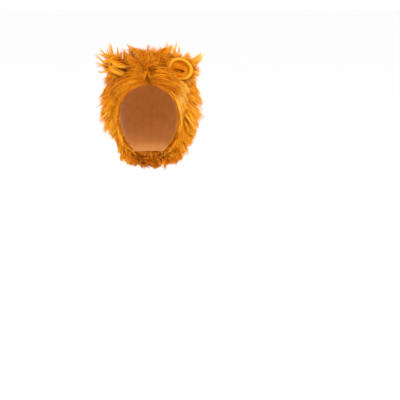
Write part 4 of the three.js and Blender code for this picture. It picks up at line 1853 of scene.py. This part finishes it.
@dataclass
class FreeTufts:
    """Tufts of their own that stand out of the mane, from a table of roots and tips."""

    name: str
    table: tuple[Wisp, ...]
    hood: HoodForm
    seed: int
    tufts: int
    hairs: int
    thickness: float
    sway: float = 0.22
    splay: float = 0.05
    shortest: float = 0.8
    overshoot: float = 1.02
    radius: float = 0.65 * MM
    steps: int = 6

    def shape(self) -> LockShape:
        """A bent path from each root to its tip: a first direction f beside the straight way D, the
        length |D|^2 / (D . f), and the last direction 2 D / length - f, which ends at the tip.

        Returns:
            The tufts.
        """
        rng = np.random.default_rng(self.seed)
        table = np.array(self.table)
        root, width = table[:, :3] * MM, table[:, 6] * MM
        reach = (table[:, 3:6] - table[:, :3]) * MM * self.overshoot
        size = np.linalg.norm(reach, axis=1, keepdims=True)
        first = unit(reach + rng.normal(0, self.sway, reach.shape) * size)
        length = size[:, 0] ** 2 / (reach * first).sum(-1)
        last = unit(2 * reach / length[:, None] - first)
        flat = unit(np.cross(first, np.array([0.0, -1.0, 0.2])))
        thickness, tone = np.full(len(root), self.thickness), table[:, 7]
        return LockShape(
            root, first, last, flat, length, width, thickness, tone, self.splay, self.shortest
        )

    def build(self, fur: bpy.types.Material) -> None:
        """Makes and dresses the tufts."""
        rng = np.random.default_rng(self.seed + 1)
        strands = self.shape().hairs(rng, self.tufts, self.hairs, self.steps, self.radius)
        strands = strands.clear_of_ears(self.hood).outside(self.hood).hung(self.seed + 2)
        dress(strands.build(self.name, self.seed), fur, Slot.PILE, "mane_right", "mane_left")


@dataclass
class ChinClosure:
    """The hook-and-loop patch across the inside of the throat."""

    hood: HoodForm
    length: float = 62 * MM
    width: float = 34 * MM
    thickness: float = 2.2 * MM
    along: float = 0.5
    grid: tuple[int, int] = (41, 21)

    def build(self, tape: bpy.types.Material) -> None:
        """Makes the patch: a wall on the inside of the cloth, with its corners rounded."""
        here = self.hood.frame(np.array([179.5]), np.array([self.along]))
        half_turn = self.length / 2 / here.per_degree[0]
        half_along = self.width / 2 / here.per_share[0]
        u, v = np.meshgrid(np.linspace(-1, 1, self.grid[0]), np.linspace(-1, 1, self.grid[1]))
        corner = 1 - 0.06 * np.clip(np.abs(v) - 0.6, 0, 1) ** 2 / 0.16
        turn, along = 180 + u * half_turn * corner, self.along + v * half_along
        turn = np.where(turn > 180, turn - 360, turn)
        edge = np.clip((1 - np.maximum(np.abs(u), np.abs(v))) / 0.12, 0, 1)
        outer = self.hood.place(turn, along, np.full_like(u, -self.hood.clearance))
        depth = self.thickness * blend(0.6, 1, smooth(edge))
        inner = self.hood.place(turn, along, -self.hood.clearance - depth)
        points, faces = MeshMaker.wall(inner, outer)
        dress(MeshMaker.make("chin_tape", points, faces, {}), tape, Slot.TAPE, "chin_patch")


@dataclass
class Studio:
    """A pale floor, plain soft light, and the camera at the photo's angle."""

    target: tuple[float, float, float] = (0.120, 0.0, -0.329)
    distance: float = 3.1
    elevation: float = 10.0
    frame_width: float = 0.96
    sensor: float = 36.0
    floor_z: float = -0.70
    floor_radius: float = 30.0
    floor_sides: int = 96
    floor_grey: float = 0.96
    lamps_look_at: tuple[float, float, float] = (0.0, 0.0, -0.1)
    sky: float = 1.02

    def camera(self) -> None:
        """Aims the camera at the middle of the photo's frame."""
        data = bpy.data.cameras.new("camera")
        data.sensor_width = self.sensor
        data.lens = self.sensor * self.distance / self.frame_width
        data.clip_end = 60
        camera = bpy.data.objects.new("camera", data)
        bpy.context.scene.collection.objects.link(camera)
        angle = math.radians(self.elevation)
        away = Vector((0, -math.cos(angle), math.sin(angle)))
        camera.location = Vector(self.target) + away * self.distance
        camera.rotation_euler = away.to_track_quat("Z", "Y").to_euler()
        bpy.context.scene.camera = camera

    def lamp(self, name: str, place: tuple, size: float, power: float, colour: tuple) -> None:
        """A square soft lamp that looks at the wig.

        Args:
            name: the lamp's name.
            place: where it stands.
            size: the length of its side.
            power: its watts.
            colour: its linear colour.
        """
        data = bpy.data.lights.new(name, "AREA")
        data.size = size
        data.energy = power
        data.color = colour
        lamp = bpy.data.objects.new(name, data)
        bpy.context.scene.collection.objects.link(lamp)
        lamp.location = place
        away = Vector(place) - Vector(self.lamps_look_at)
        lamp.rotation_euler = away.to_track_quat("Z", "Y").to_euler()

    def floor(self) -> None:
        """A wide pale disc well below the wig, as a fan of triangles round its middle."""
        count = self.floor_sides
        angle = np.linspace(0, 2 * math.pi, count, endpoint=False)
        rim = np.stack([np.cos(angle), np.sin(angle), np.zeros(count)], -1) * self.floor_radius
        points = np.vstack([rim, [[0, 0, 0]]]) + np.array([0, 0, self.floor_z])
        ring = np.arange(count)
        faces = np.stack([ring, (ring + 1) % count, np.full(count, count)], -1)
        disc = MeshMaker.make("floor", points, faces, {}, smooth_faces=False)
        book = NodeBook("pale_floor")
        grey = (self.floor_grey,) * 3
        disc.data.materials.append(book.finish(Base_Color=(*grey, 1), Roughness=0.95))

    def build(self) -> None:
        """Makes the camera, the lamps, the sky and the floor."""
        self.camera()
        self.floor()
        self.lamp("key", (1.2, -1.9, 1.5), 1.0, 50, (1, 0.98, 0.94))
        self.lamp("fill", (-1.8, -1.6, 0.6), 1.4, 20, (1, 0.99, 0.97))
        self.lamp("rim_left", (-1.6, 1.5, 0.6), 1.0, 26, (1, 1, 1))
        self.lamp("rim_right", (1.7, 1.4, 0.6), 1.0, 30, (1, 1, 1))
        world = bpy.data.worlds.new("studio")
        world.use_nodes = True
        background = world.node_tree.nodes["Background"]
        background.inputs["Color"].default_value = (1, 1, 1, 1)
        background.inputs["Strength"].default_value = self.sky
        bpy.context.scene.world = world
        bpy.context.scene.view_settings.view_transform = "Standard"


def main() -> None:
    """Builds the studio, then the wig's pieces in order, and reports each one."""
    logging.basicConfig(level=logging.INFO, format="%(message)s")
    Studio().build()
    hood, lie = HoodForm(), PileLie()
    knit, fur = KnitFinish().material(), FurFinish().material()
    plush, tape = PlushFinish().material(), TapeFinish().material()
    ManePanel(Side.RIGHT, hood, lie, seed=11).build(knit, fur)
    ManePanel(Side.LEFT, hood, lie, seed=23).build(knit, fur)
    LionEar(EAR_RIGHT, hood, seed=31).build(plush, fur)
    LionEar(EAR_LEFT, hood, seed=37).build(plush, fur)
    FreeTufts(
        "crown_wisps", WISPS, hood, seed=43, tufts=4, hairs=7, thickness=7 * MM
    ).build(fur)
    FreeTufts(
        "side_tufts", TUFTS, hood, seed=47, tufts=26, hairs=6, thickness=12 * MM, sway=0.12
    ).build(fur)
    ChinClosure(hood).build(tape)


if __name__ == "__main__":
    main()
